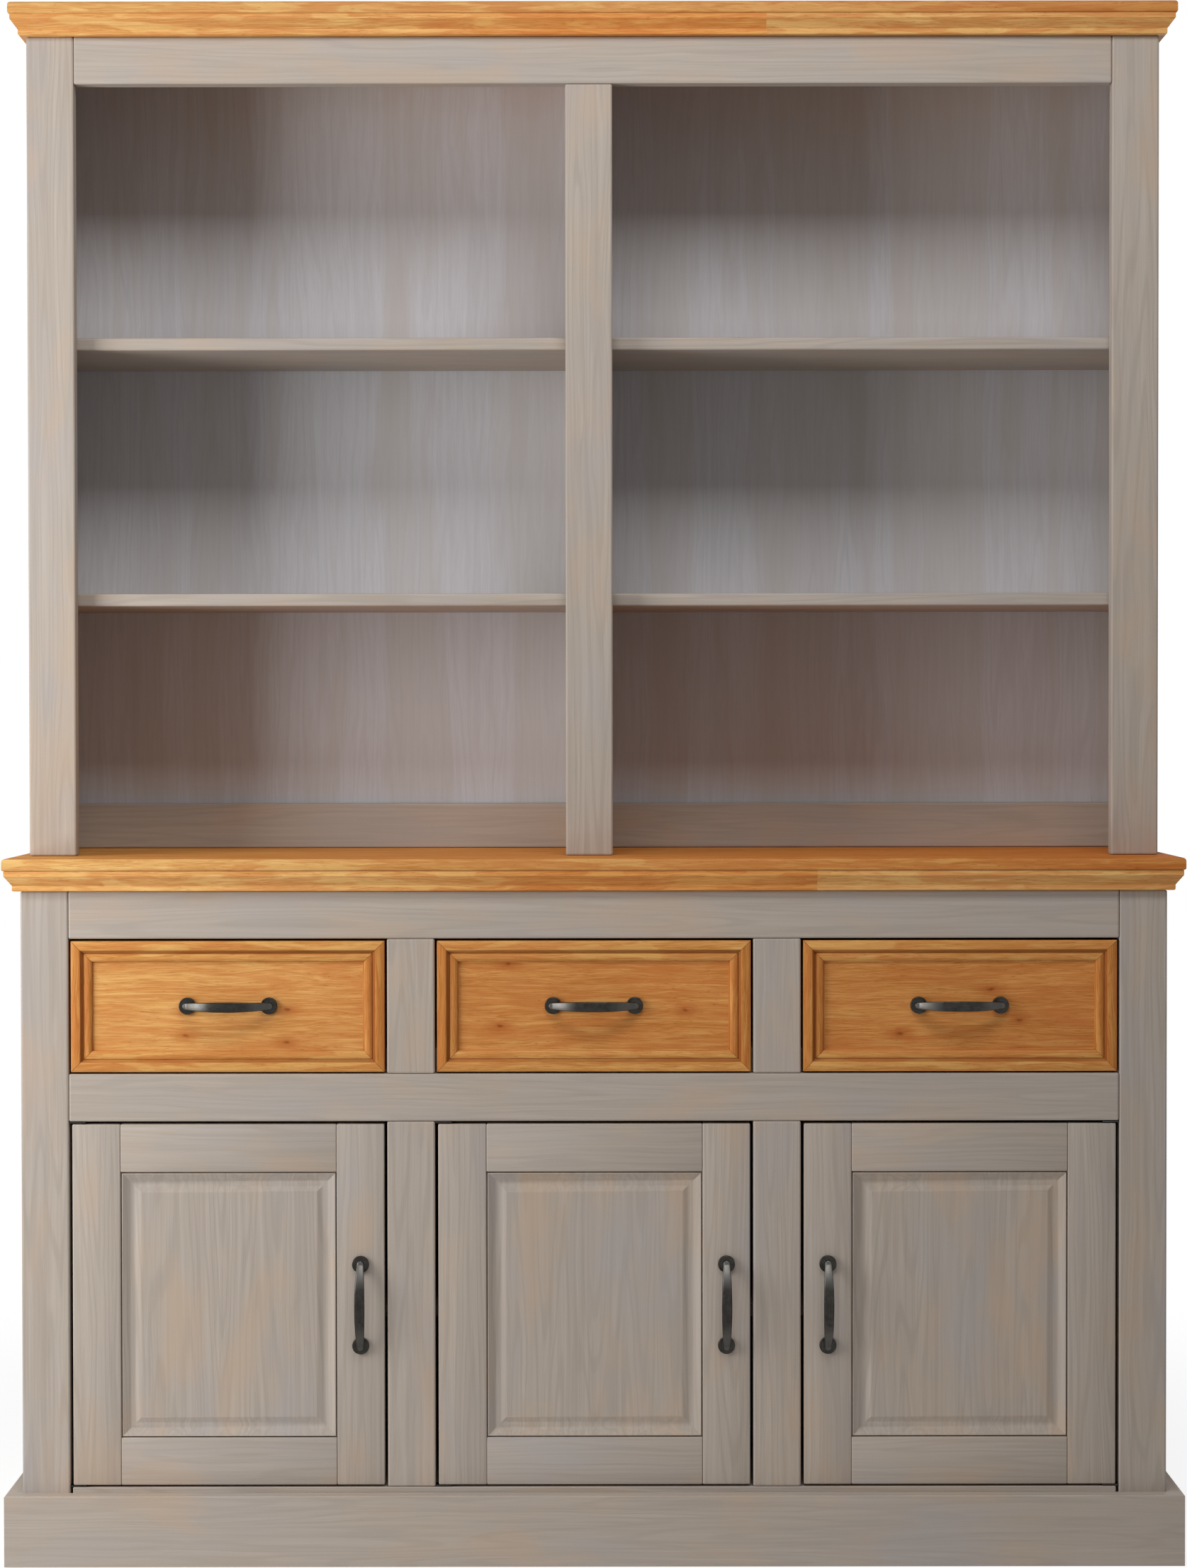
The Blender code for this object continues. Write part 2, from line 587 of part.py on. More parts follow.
def build_door(word, middle, side):
    """side is -1 for a door hung on its left edge, 1 for one hung on its right."""
    hinge_edge = middle + side * (OPENING / 2 - HINGE_GAP)
    latch_edge = middle - side * (OPENING / 2 - LATCH_GAP)
    x = (min(hinge_edge, latch_edge), max(hinge_edge, latch_edge))
    z = (DOOR_BOTTOM, DOOR_BOTTOM + DOOR_HEIGHT)
    y = (FRAME_Y, FRAME_Y + DOOR_THICK)
    axis_x = hinge_edge - side * PIVOT_INSET
    axis_y = FRAME_Y + PIVOT_SET
    axis = axis_empty("door_" + word + "_axis", (axis_x, axis_y, DOOR_BOTTOM))
    name = "door_" + word

    frame = board(name + "_frame", x, y, z, GREY_PINE, parent=axis)
    sight_x = (x[0] + DOOR_FRAME_WIDTH, x[1] - DOOR_FRAME_WIDTH)
    sight_z = (z[0] + DOOR_FRAME_WIDTH, z[1] - DOOR_FRAME_WIDTH)
    cut(frame, cutting_box(name + "_opening", sight_x, (y[0] - DOOR_THICK, y[1] + DOOR_THICK), sight_z, axis))
    slot_x = (sight_x[0] - PANEL_TONGUE - GAP, sight_x[1] + PANEL_TONGUE + GAP)
    slot_z = (sight_z[0] - PANEL_TONGUE - GAP, sight_z[1] + PANEL_TONGUE + GAP)
    slot_y = (FRAME_Y + PANEL_SET - GAP, FRAME_Y + PANEL_SET + PANEL_TONGUE_THICK + GAP)
    cut(frame, cutting_box(name + "_slot", slot_x, slot_y, slot_z, axis))
    middle_x = (x[0] + x[1]) / 2
    middle_z = (z[0] + z[1]) / 2
    groove_y = FRAME_Y - GAP
    for number, edge in enumerate((sight_x[0] - GAP, sight_x[1] + GAP)):
        mesh = rod_mesh(name + "_upright_groove_%d" % number, JOINT_GROOVE, DOOR_HEIGHT + DOOR_THICK, 4)
        cut(frame, place(mesh.name, mesh, None, (edge, groove_y, middle_z), axis, True))
    level_length = sight_x[1] - sight_x[0] - JOINT_GROOVE
    for number, edge in enumerate((sight_z[0] - GAP, sight_z[1] + GAP)):
        mesh = rod_mesh(name + "_level_groove_%d" % number, JOINT_GROOVE, level_length, 4)
        groove = place(mesh.name, mesh, None, (middle_x, groove_y, edge), axis, True)
        groove.rotation_euler = (0.0, pi / 2, 0.0)
        cut(frame, groove)
    bore = PIN_LENGTH + GAP
    for number, level in enumerate(z):
        mesh = rod_mesh(name + "_bore_%d" % number, PIN_RADIUS + GAP, 2 * bore, 16)
        cut(frame, place(mesh.name, mesh, None, (axis_x, axis_y, level), axis, True))
    close = frame.modifiers.new("merged_points", "WELD")
    close.merge_threshold = GAP / 20

    half_x = (sight_x[1] - sight_x[0]) / 2 + PANEL_TONGUE
    half_z = (sight_z[1] - sight_z[0]) / 2 + PANEL_TONGUE
    rim = PANEL_TONGUE + PANEL_RIM_GAP
    rim_height = PANEL_TONGUE_THICK + PANEL_SET - PANEL_RIM_SET
    steps = [(0.0, 0.0), (PANEL_TONGUE_THICK, 0.0), (PANEL_TONGUE_THICK, rim)]
    for number in range(COVE_STEPS + 1):
        share = number / COVE_STEPS
        depth = PANEL_COVE * (COVE_FALL * share - (COVE_FALL + COVE_RISE) * share * share / 2)
        steps.append((rim_height - depth, rim + PANEL_COVE * share))
    sections = []
    for depth, back in steps:
        sections.append((depth, back - half_x, half_x - back, back - half_z, half_z - back))
    stacked(name + "_panel", sections, GREY_PINE,
            (middle_x, FRAME_Y + PANEL_SET + PANEL_TONGUE_THICK, middle_z), True, axis)

    handle_x = latch_edge + side * DOOR_FRAME_WIDTH / 2
    handle(name + "_handle", (handle_x, FRAME_Y - GAP, middle_z), True, axis)

    jamb = middle + side * OPENING / 2
    plate_y = (axis_y - PLATE_WIDTH / 2, axis_y + PLATE_WIDTH / 2)
    near = jamb - side * GAP
    far = axis_x - side * PLATE_WIDTH / 2
    plate_x = (min(near, far), max(near, far))
    seat = DOOR_BOTTOM - GAP
    lower = board(name + "_lower_pivot", plate_x, plate_y, (seat - PLATE_THICK, seat), BLACK_IRON, ease=0)
    mesh = rod_mesh(name + "_lower_pin", PIN_RADIUS, PIN_LENGTH + PLATE_THICK / 2, 16)
    pin_z = seat - PLATE_THICK / 2 + (PIN_LENGTH + PLATE_THICK / 2) / 2 - GAP
    fuse(lower, place(mesh.name, mesh, None, (axis_x, axis_y, pin_z), None, True))
    head = MIDDLE_Z - GAP
    upper = board(name + "_upper_pivot", plate_x, plate_y, (head - PLATE_THICK, head), BLACK_IRON, ease=0)
    reach = head - PLATE_THICK / 2 - (z[1] - PIN_LENGTH + GAP)
    mesh = rod_mesh(name + "_upper_pin", PIN_RADIUS, reach, 16)
    fuse(upper, place(mesh.name, mesh, None, (axis_x, axis_y, head - PLATE_THICK / 2 - reach / 2), None, True))


def main():
    build_plinth()
    build_base()
    build_hutch()
    for word, place_x in (("left", -1), ("centre", 0), ("right", 1)):
        middle = place_x * (OPENING + FRAME_WIDTH)
        build_drawer(word, middle)
        build_door(word, middle, 1 if word == "right" else -1)


main()
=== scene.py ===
"""Dresses a pine sideboard with an open shelf hutch: glazed boards, stained fronts, iron handles, studio light."""

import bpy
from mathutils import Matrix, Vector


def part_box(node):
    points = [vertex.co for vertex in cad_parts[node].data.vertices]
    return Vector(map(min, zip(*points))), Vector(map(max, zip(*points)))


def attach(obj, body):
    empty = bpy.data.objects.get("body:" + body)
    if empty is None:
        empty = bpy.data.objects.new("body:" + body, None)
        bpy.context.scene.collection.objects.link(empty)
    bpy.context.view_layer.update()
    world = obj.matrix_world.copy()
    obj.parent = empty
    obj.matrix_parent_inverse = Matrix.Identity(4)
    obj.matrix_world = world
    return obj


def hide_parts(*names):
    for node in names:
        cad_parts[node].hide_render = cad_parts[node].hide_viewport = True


bl_info = {
    "name": "Sideboard with shelf hutch",
    "version": (1, 0, 0),
    "blender": (4, 5, 0),
    "location": "3D View > Sidebar > Sideboard",
    "description": "Glazed pine boards, stained drawer fronts and counter, coved door panels and iron handles",
    "category": "Object",
}

from math import atan2, cos, pi, radians, sin, sqrt

import bmesh
import bpy
from bpy.props import FloatProperty, FloatVectorProperty, PointerProperty
from mathutils import Vector

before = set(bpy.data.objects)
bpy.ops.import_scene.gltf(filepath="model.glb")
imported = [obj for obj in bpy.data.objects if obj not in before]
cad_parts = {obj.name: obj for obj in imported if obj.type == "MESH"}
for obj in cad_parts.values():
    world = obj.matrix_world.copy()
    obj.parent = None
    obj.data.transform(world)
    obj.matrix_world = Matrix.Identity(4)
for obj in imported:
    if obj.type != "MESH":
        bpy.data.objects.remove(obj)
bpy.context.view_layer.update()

WORDS = ("left", "centre", "right")
SNUG = 0.00005  # how near a point has to be to a plane to count as on it

# Fine sizes in metres
BOARD_JOINT = 0.0001  # open line between two boards
BOX_EDGE = 0.0009  # rounding of the drawer boxes' edges
FRONT_EDGE = 0.0012  # rounding of the drawer fronts' edges
STRAP_EDGE = 0.0014  # rounding of the bows' edges
ROSETTE_EDGE, POST_EDGE = 0.00088, 0.000165
SCREW_PROUD = 0.0002  # how far a screw head stands out
BEAD_FALL = 0.0006  # how much deeper the inner side of the drawers' bead lies
# Insets of the lines where a drawer's panel begins, and their heights above it
PANEL_FILLET = ((0.0, 0.0010), (0.0004, 0.0002), (0.0012, 0.0))
COVE_STEPS = 14  # sections of the door panels' hollow
BOW_CUTS = 47  # sections along a bow
BOW_POWER = 2.3  # how flat the middle of a bow is
# Insets and depths of the rings turned into a rosette
ROSETTE_RINGS = ((0.0009, 0.0), (0.0016, -0.0005), (0.0012, 0.0004))

# Wood and iron
RELIEF = 0.0003  # depth of the relief
SPOT = 0.006  # size of dull spots, and of the raggedness of knots
WIPE = 0.045  # size of the places where the brush wiped an edge thin
KNOT_RAGGED = (0.008, 0.003, 0.003)
KNOTLESS = 0.6  # share of the cells that have no knot
FRESH_GRAIN = (9.3, 9.7, 9.1)
COUNTER_JOINT, CORNICE_JOINT = 0.262, 0.206
STAIN_TURNS = (-0.27, -0.05)  # the mouldings' stain deepens between these places
PLAIN_STAIN = (1.0, 1.0, 1.0)
PALE_STAIN = (1.1, 1.05, 1.05)
LEVEL_GLAZE = {"lines": 0.34, "bare": 0.42, "contrast": 0.28}
# Shift of each drawer panel's grain, and its stain at the left and at the right
DRAWER_STAINS = {"left": ((0.0, 0.0, 0.0), (0.97, 0.89, 0.82), (0.93, 0.76, 0.67)),
                 "centre": ((1.3, 0.47, 0.2), (0.87, 0.68, 0.56), (0.87, 0.66, 0.53)),
                 "right": ((2.9, 0.83, 0.4), (0.84, 0.64, 0.52), (0.84, 0.61, 0.48))}

# Studio
FLOOR_RADIUS, FLOOR_DROP = 6.0, 0.0004
FLOOR_FADE = (0.8, 1.9)  # the floor fades out between these distances
FLOOR_GLOW, GLOW_SHARE = 1.2, 0.7
AMBIENT = 0.20
# A tall softbox at the left, level with the hutch, and a weaker one overhead: place, aim, size and power
LAMPS = {"side_softbox": ((-1.68, -0.95, 1.05), (-0.2, 0.0, 1.0), (0.85, 1.4), 25.8),
         "overhead_softbox": ((0.1, -1.47, 2.64), (0.1, 0.0, 1.0), (1.4, 0.6), 20.0)}
CAMERA_AT = (0.0, -4.0569, 0.992)
CAMERA_TURN = (pi / 2 - 0.0189, 0.0013, 0.0)
SENSOR = 36.0
FOCAL_PIXELS, PICTURE_HEIGHT = 4687.6, 2212


def srgb(code):
    """Linear colour of an sRGB hex value."""
    parts = [int(code[place:place + 2], 16) / 255 for place in (1, 3, 5)]
    return tuple(part / 12.92 if part <= 0.04045 else ((part + 0.055) / 1.055) ** 2.4 for part in parts)


def length(name, description, default):
    return FloatProperty(name=name, description=description, default=default, min=0.0,
                         precision=4, unit="LENGTH", subtype="DISTANCE")


def colour(name, description, code):
    return FloatVectorProperty(name=name, description=description, default=srgb(code), size=3,
                               min=0.0, max=1.0, subtype="COLOR")


class SideboardSizes(bpy.types.PropertyGroup):
    """Sizes of the moulded fronts, the edge mouldings and the handles."""

    arris: length("Arris", "Rounding of the door boards' edges", 0.0015)
    lip_out: length("Lip", "Lowest fillet of the edge moulding beyond the carcass", 0.0083)
    lip_height: length("Lip height", "Height of that fillet", 0.0068)
    lip_round: length("Lip rounding", "Rounding under the fillet", 0.0020)
    lip_step: length("Lip step", "Quirk between fillet and slope", 0.0004)
    mould_out: length("Moulding", "Edge moulding beyond the carcass", 0.0168)
    slope_height: length("Slope height", "Height of the moulding's slope", 0.0108)
    nose: length("Nose", "Rounding under the counter's and cornice's boards", 0.0022)
    nose_top: length("Upper nose", "Rounding over the counter's and cornice's boards", 0.0040)
    band: length("Drawer band", "Outer flat of the drawer moulding", 0.0100)
    ogee: length("Drawer ogee", "Width of the slope inside the band", 0.0048)
    ogee_depth: length("Ogee depth", "Depth of that slope", 0.0046)
    bead: length("Drawer bead", "Width of the rounded bead", 0.0098)
    bead_rise: length("Bead rise", "Height of the bead above the foot of the ogee", 0.0020)
    field_depth: length("Drawer panel depth", "Panel behind the band", 0.0075)
    mitre: length("Mitre line", "Half width of the joint at the drawer's corners", 0.00045)
    hinge_fill: length("Hinge side", "How far the doors reach into the gap at their hinge side", 0.0006)
    top_fill: length("Door top", "How far the doors reach into the gap over them", 0.0004)
    drawer_fill: length("Drawer bottom edge", "How far the drawer fronts reach into the gap under them", 0.0006)
    door_board: length("Door board", "Width of the doors' stiles and rails", 0.0560)
    tongue: length("Panel tongue", "How far the panel enters the door frame", 0.0080)
    tongue_set: length("Panel setback", "Front of the tongue behind the front of the door", 0.0070)
    rim_gap: length("Rim gap", "Between the door frame and the panel's rim", 0.0015)
    rim_set: length("Rim setback", "Rim behind the front of the door", 0.0008)
    rim_round: length("Rim rounding", "Rounding of the rim towards the frame", 0.0008)
    cove: length("Panel cove", "Hollow margin between the rim and the field", 0.0225)
    cove_fall: FloatProperty(name="Cove fall", description="Slope of the hollow at the rim", default=0.58)
    cove_rise: FloatProperty(name="Cove rise", description="Slope of the hollow at the field", default=0.36)
    box_wall: length("Drawer side", "Thickness of the drawer boxes' boards", 0.0120)
    box_bottom: length("Drawer bottom", "Thickness of the drawer bottoms", 0.0060)
    handle_span: length("Handle span", "Between the middles of the rosettes", 0.0960)
    handle_reach: length("Handle reach", "How far the bow stands off the face", 0.0260)
    rosette: length("Rosette", "Radius of a rosette", 0.0100)
    rosette_thick: length("Rosette thickness", "Thickness of a rosette", 0.0040)
    strap: length("Strap", "Width of the bow in its middle", 0.0120)
    strap_end: length("Strap end", "Width of the bow at its ends", 0.0083)
    strap_thick: length("Strap thickness", "Thickness of the bow", 0.0046)
    screw: length("Screw head", "Radius of the heads of the back screws", 0.0035)
    screw_pitch: length("Screw pitch", "About how far apart the back screws are", 0.2400)
    screw_edge: length("Screw edge", "From the edge of a back board to its screws", 0.0100)


class SideboardFinishes(bpy.types.PropertyGroup):
    """Colours of the wood finishes and of the iron."""

    glaze: colour("Glaze", "Grey glaze over the pine", "#bdb2a7")
    glaze_grain: colour("Glaze in the grain", "Where the glaze lies thick in the grain", "#a99d92")
    glaze_ring: colour("Glazed rings", "Late wood lines under the glaze", "#958a7f")
    glaze_thin: colour("Thin glaze", "Where the wood shows through", "#c0a78f")
    glaze_cool: colour("Cool glaze", "Where the glaze is bluish", "#a9a6a8")
    honey: colour("Honey stain", "Stained early wood", "#e6b773")
    honey_late: colour("Honey late wood", "Stained late wood", "#c78d4b")
    honey_red: colour("Reddish stain", "Patches that took more stain", "#cc894c")
    honey_pale: colour("Pale stain", "Patches that took less stain", "#efce85")
    knot: colour("Knots", "Knots, flecks and open joints in the stained pine", "#8a5026")
    honey_knot: colour("Round the knots", "Reddish halo of the knots in the drawer panels", "#b97238")
    honey_deep: colour("Deep stain", "Tint where the mouldings and boards took the stain deepest", "#f9d4b5")
    honey_mould: colour("Moulding stain", "Tint of the edge mouldings' middle stretch", "#fddfc6")
    honey_cornice: colour("Cornice stain", "Tint of the cornice moulding's ends", "#fff6f3")
    honey_top: colour("Top stain", "Tint of the counter's upper face", "#fff0de")
    honey_strip: colour("Strip stain", "Tint of the drawers' mitred strips", "#f6e4d3")
    honey_upright: colour("Upright stain", "Tint of the strips' upright runs", "#e9cbb2")
    plain: colour("Plain pine", "Bare pine of the drawer boxes", "#e3c8a0")
    plain_late: colour("Plain late wood", "Late wood of the bare pine", "#cda470")
    back: colour("Back board", "Grey back boards", "#dbdbe0")
    back_grain: colour("Back board grain", "Grain of the back boards", "#c2c0c5")
    back_ring: colour("Back board lines", "Printed lines of the back boards", "#a5a1a2")
    back_brown: colour("Back board brown", "Brownish patches of the back boards", "#c4beba")
    iron: colour("Iron", "Blackened iron", "#2a2826")
    iron_worn: colour("Rubbed iron", "Where the iron is rubbed", "#3b3936")
    # painted sheen: the colour that lightens the ends of the bows, where lamp reflections would fall
    iron_painted_sheen: colour("Bright iron", "Towards the ends of the bows, where the black is rubbed off", "#565451")
    floor: colour("Floor", "Studio floor", "#f4f3f1")


def settings():
    """The sizes and the finishes that the scene holds."""
    scene = bpy.context.scene
    return scene.sideboard_sizes, scene.sideboard_finishes


# Materials

def add(tree, kind, inputs=(), **options):
    """Adds one shader node with its options, its values and its links, and gives its outputs."""
    made = tree.nodes.new("ShaderNode" + kind)
    for key, value in options.items():
        setattr(made, key, value)
    for key, value in dict(inputs).items():
        if isinstance(value, bpy.types.NodeSocket):
            tree.links.new(value, made.inputs[key])
        else:
            made.inputs[key].default_value = value
    return made.outputs


def rgba(value):
    return (*value, 1.0)


def new_material(name):
    """A new material, with its node tree and its main shader."""
    made = bpy.data.materials.new(name)
    made.use_nodes = True
    return made, made.node_tree, made.node_tree.nodes["Principled BSDF"]


def along_grain(tree, grain):
    """The place on a piece, as axes along the grain, across it and through the board, and as one vector."""
    place = add(tree, "SeparateXYZ", {0: add(tree, "TexCoord")["Object"]})
    axes = {number: place["XYZ".index(axis)] for number, axis in enumerate(grain)}
    return axes, add(tree, "CombineXYZ", axes)[0]


def drawn_out(run, width):
    """Scale of a noise whose spots have this length along the grain and this width across it, in metres."""
    return 1 / run, 1 / width, 1 / width


def surfaced(tree, shader, shade, height, dull, bright):
    """Gives the shader its colour, and a roughness and a shallow relief that follow the height."""
    rough = add(tree, "MapRange", {"Value": height, "From Min": 0.3, "From Max": 0.7,
                                   "To Min": dull, "To Max": bright})[0]
    bump = add(tree, "Bump", {"Height": height, "Strength": 0.2, "Distance": RELIEF})[0]
    for key, value in (("Base Color", shade), ("Roughness", rough), ("Normal", bump)):
        tree.links.new(value, shader.inputs[key])


def pine(name, grain, tones, tints, fibre, streak, share, contrast, gloss, shift=(0.0, 0.0, 0.0),
         wander=(0.5, 0.08, 0.012), rings=None, flecks=None, knots=None, joint=None, stain=None, worn=None,
         quirks=None, specular=0.35):
    """Sawn pine under a finish. grain gives the axes along the board, across its face and through it.

    To the eye: fine fibres and broader soft streaks that wander slowly along the board, thin lines of late wood
    that run long and now and then arch over, and clouds where the finish lies thicker or thinner. fibre and
    streak are lengths and widths in metres, and share is how much of the tone the fibres make. wander gives the
    length, width and reach of the grain's bends. Each tint is a colour with the length, width, threshold, softness
    and strength of its clouds. stain gives two tints and the places along the board between which it changes.
    """
    if name in bpy.data.materials:
        return bpy.data.materials[name]
    made, tree, shader = new_material(name)
    axes, laid = along_grain(tree, grain)
    laid = add(tree, "VectorMath", {0: laid, 1: shift}, operation="ADD")[0]
    if joint:
        # a finger joint: beyond it the grain starts afresh and the stain is as at the start
        beyond = add(tree, "Math", {0: axes[0], 1: joint}, operation="GREATER_THAN")[0]
        laid = add(tree, "VectorMath", {0: beyond, 1: FRESH_GRAIN, 2: laid}, operation="MULTIPLY_ADD")[0]

    run, width, drift = wander
    slow = add(tree, "VectorMath", {0: laid, 1: drawn_out(run, width)}, operation="MULTIPLY")[0]
    slow = add(tree, "TexNoise", {"Vector": slow, "Scale": 1.0, "Detail": 2.0})[1]
    slow = add(tree, "VectorMath", {0: slow, 1: (0.5, 0.5, 0.5)}, operation="SUBTRACT")[0]
    bent = add(tree, "VectorMath", {0: slow, 1: (0.0, 2 * drift, 2 * drift), 2: laid},
               operation="MULTIPLY_ADD")[0]
    layers = []
    for size, detail in ((fibre, 3.0), (streak, 2.0)):
        sized = add(tree, "VectorMath", {0: bent, 1: drawn_out(*size)}, operation="MULTIPLY")[0]
        layers.append(add(tree, "TexNoise", {"Vector": sized, "Scale": 1.0, "Detail": detail})[0])
    fibres, streaks = layers
    tone = add(tree, "Mix", {0: share, 2: streaks, 3: fibres})[0]
    tone = add(tree, "MapRange", {"Value": tone, "From Min": 0.5 - contrast, "From Max": 0.5 + contrast})[0]
    shade = add(tree, "Mix", {0: tone, 6: rgba(tones[0]), 7: rgba(tones[1])}, data_type="RGBA")[2]

    # tints over the shade: colour, value and the range in which it rises, strength, and what holds it back
    covers = []
    if rings:
        # levels of one broad field, as the late wood of the year rings is cut by the face of a board
        tint, run, width, count, amount = rings
        sized = add(tree, "VectorMath", {0: bent, 1: drawn_out(run, width)}, operation="MULTIPLY")[0]
        field = add(tree, "TexNoise", {"Vector": sized, "Scale": 1.0, "Detail": 0.5})[0]
        wave = add(tree, "Math", {0: field, 1: 2 * pi * count}, operation="MULTIPLY")[0]
        wave = add(tree, "Math", {0: wave}, operation="SINE")[0]
        covers.append((tint, wave, 0.1, 1.0, amount, streaks))
    for number, (tint, run, width, low, soft, amount) in enumerate(tints):
        # each tint has clouds of its own, from another part of the noise
        sized = add(tree, "VectorMath", {0: bent, 1: drawn_out(run, width), 2: (7.0 * number + 3.0, 11.0, 5.0)},
                    operation="MULTIPLY_ADD")[0]
        cloud = add(tree, "TexNoise", {"Vector": sized, "Scale": 1.0, "Detail": 2.5})[0]
        covers.append((tint, cloud, low, low + soft, amount, None))
    if worn:
        # the attribute marks edges where the brush wiped the finish thin, here and there
        tint, attribute, amount = worn
        edge = add(tree, "Attribute", attribute_name=attribute)["Fac"]
        wiped = add(tree, "TexNoise", {"Vector": laid, "Scale": 1 / WIPE, "Detail": 1.0})[0]
        covers.append((tint, wiped, 0.42, 0.62, amount, edge))
    if flecks:
        # short dark dashes of resin
        tint, run, width, low, amount = flecks
        sized = add(tree, "VectorMath", {0: bent, 1: drawn_out(run, width)}, operation="MULTIPLY")[0]
        dash = add(tree, "TexNoise", {"Vector": sized, "Scale": 1.0, "Detail": 1.0})[0]
        covers.append((tint, dash, low, low + 0.10, amount, None))
    if knots:
        # small knots with a soft halo, in some of the cells of a loose grid
        tint, halo, apart, across, size = knots
        ragged = add(tree, "TexNoise", {"Vector": laid, "Scale": 1 / SPOT, "Detail": 2.0})[1]
        ragged = add(tree, "VectorMath", {0: ragged, 1: KNOT_RAGGED, 2: laid}, operation="MULTIPLY_ADD")[0]
        sized = add(tree, "VectorMath", {0: ragged, 1: (1 / apart, 1 / across, 0.0)}, operation="MULTIPLY")[0]
        cell = add(tree, "TexVoronoi", {"Vector": sized, "Scale": 1.0}, voronoi_dimensions="2D")
        there = add(tree, "SeparateColor", {0: cell["Color"]})[0]
        there = add(tree, "Math", {0: there, 1: KNOTLESS}, operation="GREATER_THAN")[0]
        for dye, spread, amount in ((halo, 4.0, 0.75), (tint, 0.9, 0.85)):
            covers.append((dye, cell["Distance"], spread * size / across, 0.0, amount, there))
    for tint, value, low, high, amount, times in covers:
        mask = add(tree, "MapRange", {"Value": value, "From Min": low, "From Max": high, "To Max": amount},
                   interpolation_type="SMOOTHSTEP")[0]
        if times is not None:
            mask = add(tree, "Math", {0: mask, 1: times}, operation="MULTIPLY")[0]
        shade = add(tree, "Mix", {0: mask, 6: shade, 7: rgba(tint)}, data_type="RGBA")[2]

    if quirks:
        # the attribute marks the bottoms of the moulding, which are darkened: partly stain gathered there, partly
        # painted shade in the recesses
        tint, attribute, amount = quirks
        edge = add(tree, "Attribute", attribute_name=attribute)["Fac"]
        edge = add(tree, "Math", {0: edge, 1: amount}, operation="MULTIPLY")[0]
        shade = add(tree, "Mix", {0: edge, 6: shade, 7: rgba(tint)}, data_type="RGBA")[2]
    if stain:
        first, second, begins, ends = stain
        depth = add(tree, "MapRange", {"Value": axes[0], "From Min": begins, "From Max": ends})[0]
        if joint:
            depth = add(tree, "Math", {0: depth, 1: beyond}, operation="SUBTRACT", use_clamp=True)[0]
        tint = add(tree, "Mix", {0: depth, 6: rgba(first), 7: rgba(second)}, data_type="RGBA")[2]
        shade = add(tree, "Mix", {0: 1.0, 6: shade, 7: tint}, data_type="RGBA", blend_type="MULTIPLY")[2]
    surfaced(tree, shader, shade, fibres, gloss + 0.07, gloss - 0.05)
    shader.inputs["Specular IOR Level"].default_value = specular
    return made


def glazed(grain, name, lines=0.46, bare=0.46, contrast=0.22, **more):
    """Pine brushed with a thin grey glaze: fine straight lines, broad cool clouds and tan ones of bare wood.

    lines and bare are the strengths of the lines and of the tan clouds.
    """
    look = settings()[1]
    tints = ((look.glaze_cool, 0.24, 0.080, 0.45, 0.28, 0.40), (look.glaze_thin, 0.14, 0.060, 0.46, 0.28, bare))
    return pine(name, grain, (look.glaze_grain, look.glaze), tints, fibre=(0.14, 0.0015), streak=(0.45, 0.0060),
                share=0.40, contrast=contrast, gloss=0.54, wander=(0.24, 0.05, 0.007), specular=0.15,
                rings=(look.glaze_ring, 0.70, 0.032, 12.0, lines), **more)


def honeyed(grain, name, figured=False, gloss=0.45, specular=0.12, **more):
    """Pine under a honey stain and satin varnish: fine warm fibres, reddish clouds, flames, dark flecks."""
    look = settings()[1]
    tints = [(look.honey_red, 0.20, 0.055, 0.44, 0.28, 0.45), (look.honey_red, 0.070, 0.012, 0.52, 0.20, 0.45),
             (look.honey_pale, 0.090, 0.005, 0.53, 0.22, 0.50)]
    if figured:
        # pale flames with crisp outlines, where the plain-sawn face took less stain
        tints.append((look.honey_pale, 0.085, 0.017, 0.54, 0.06, 0.36))
    return pine(name, grain, (look.honey_late, look.honey), tints, fibre=(0.030, 0.0010), streak=(0.26, 0.0050),
                share=0.62, contrast=0.115, gloss=gloss, wander=(0.16, 0.04, 0.008), specular=specular,
                flecks=(look.knot, 0.010, 0.0009, 0.66, 0.45),
                rings=(look.honey_red, 0.36, 0.030, 5.0, 0.80), **more)


def open_joint(grain, name):
    """Stain gathered in an open joint: the honey stain at its darkest, with the fibres still faintly there."""
    look = settings()[1]
    return pine(name, grain, (look.knot, look.honey_late), (), fibre=(0.02, 0.0014), streak=(0.10, 0.0045),
                share=0.5, contrast=0.5, gloss=0.6, specular=0.1)


def plain(grain, name):
    """Bare planed pine of the drawer boxes: pale, with soft streaks and a few knots."""
    look = settings()[1]
    tints = ((look.plain_late, 0.20, 0.012, 0.52, 0.22, 0.45),)
    return pine(name, grain, (look.plain_late, look.plain), tints, fibre=(0.09, 0.0016), streak=(0.50, 0.0060),
                share=0.45, contrast=0.24, gloss=0.62, wander=(0.5, 0.08, 0.014), specular=0.25,
                knots=(look.knot, look.plain_late, 0.30, 0.07, 0.004))


def backing(name):
    """Thin back board with a printed grey grain: upright dashes, greyer than the frame, brownish in places."""
    look = settings()[1]
    tints = ((look.back_brown, 0.35, 0.05, 0.50, 0.22, 0.50), (look.back_brown, 3.0, 0.08, 0.50, 0.06, 0.40))
    return pine(name, "ZXY", (look.back_grain, look.back), tints, fibre=(0.045, 0.0016), streak=(0.60, 0.0060),
                share=0.62, contrast=0.46, gloss=0.55, specular=0.25, wander=(0.25, 0.06, 0.012),
                rings=(look.back_ring, 0.55, 0.022, 6.0, 0.22))


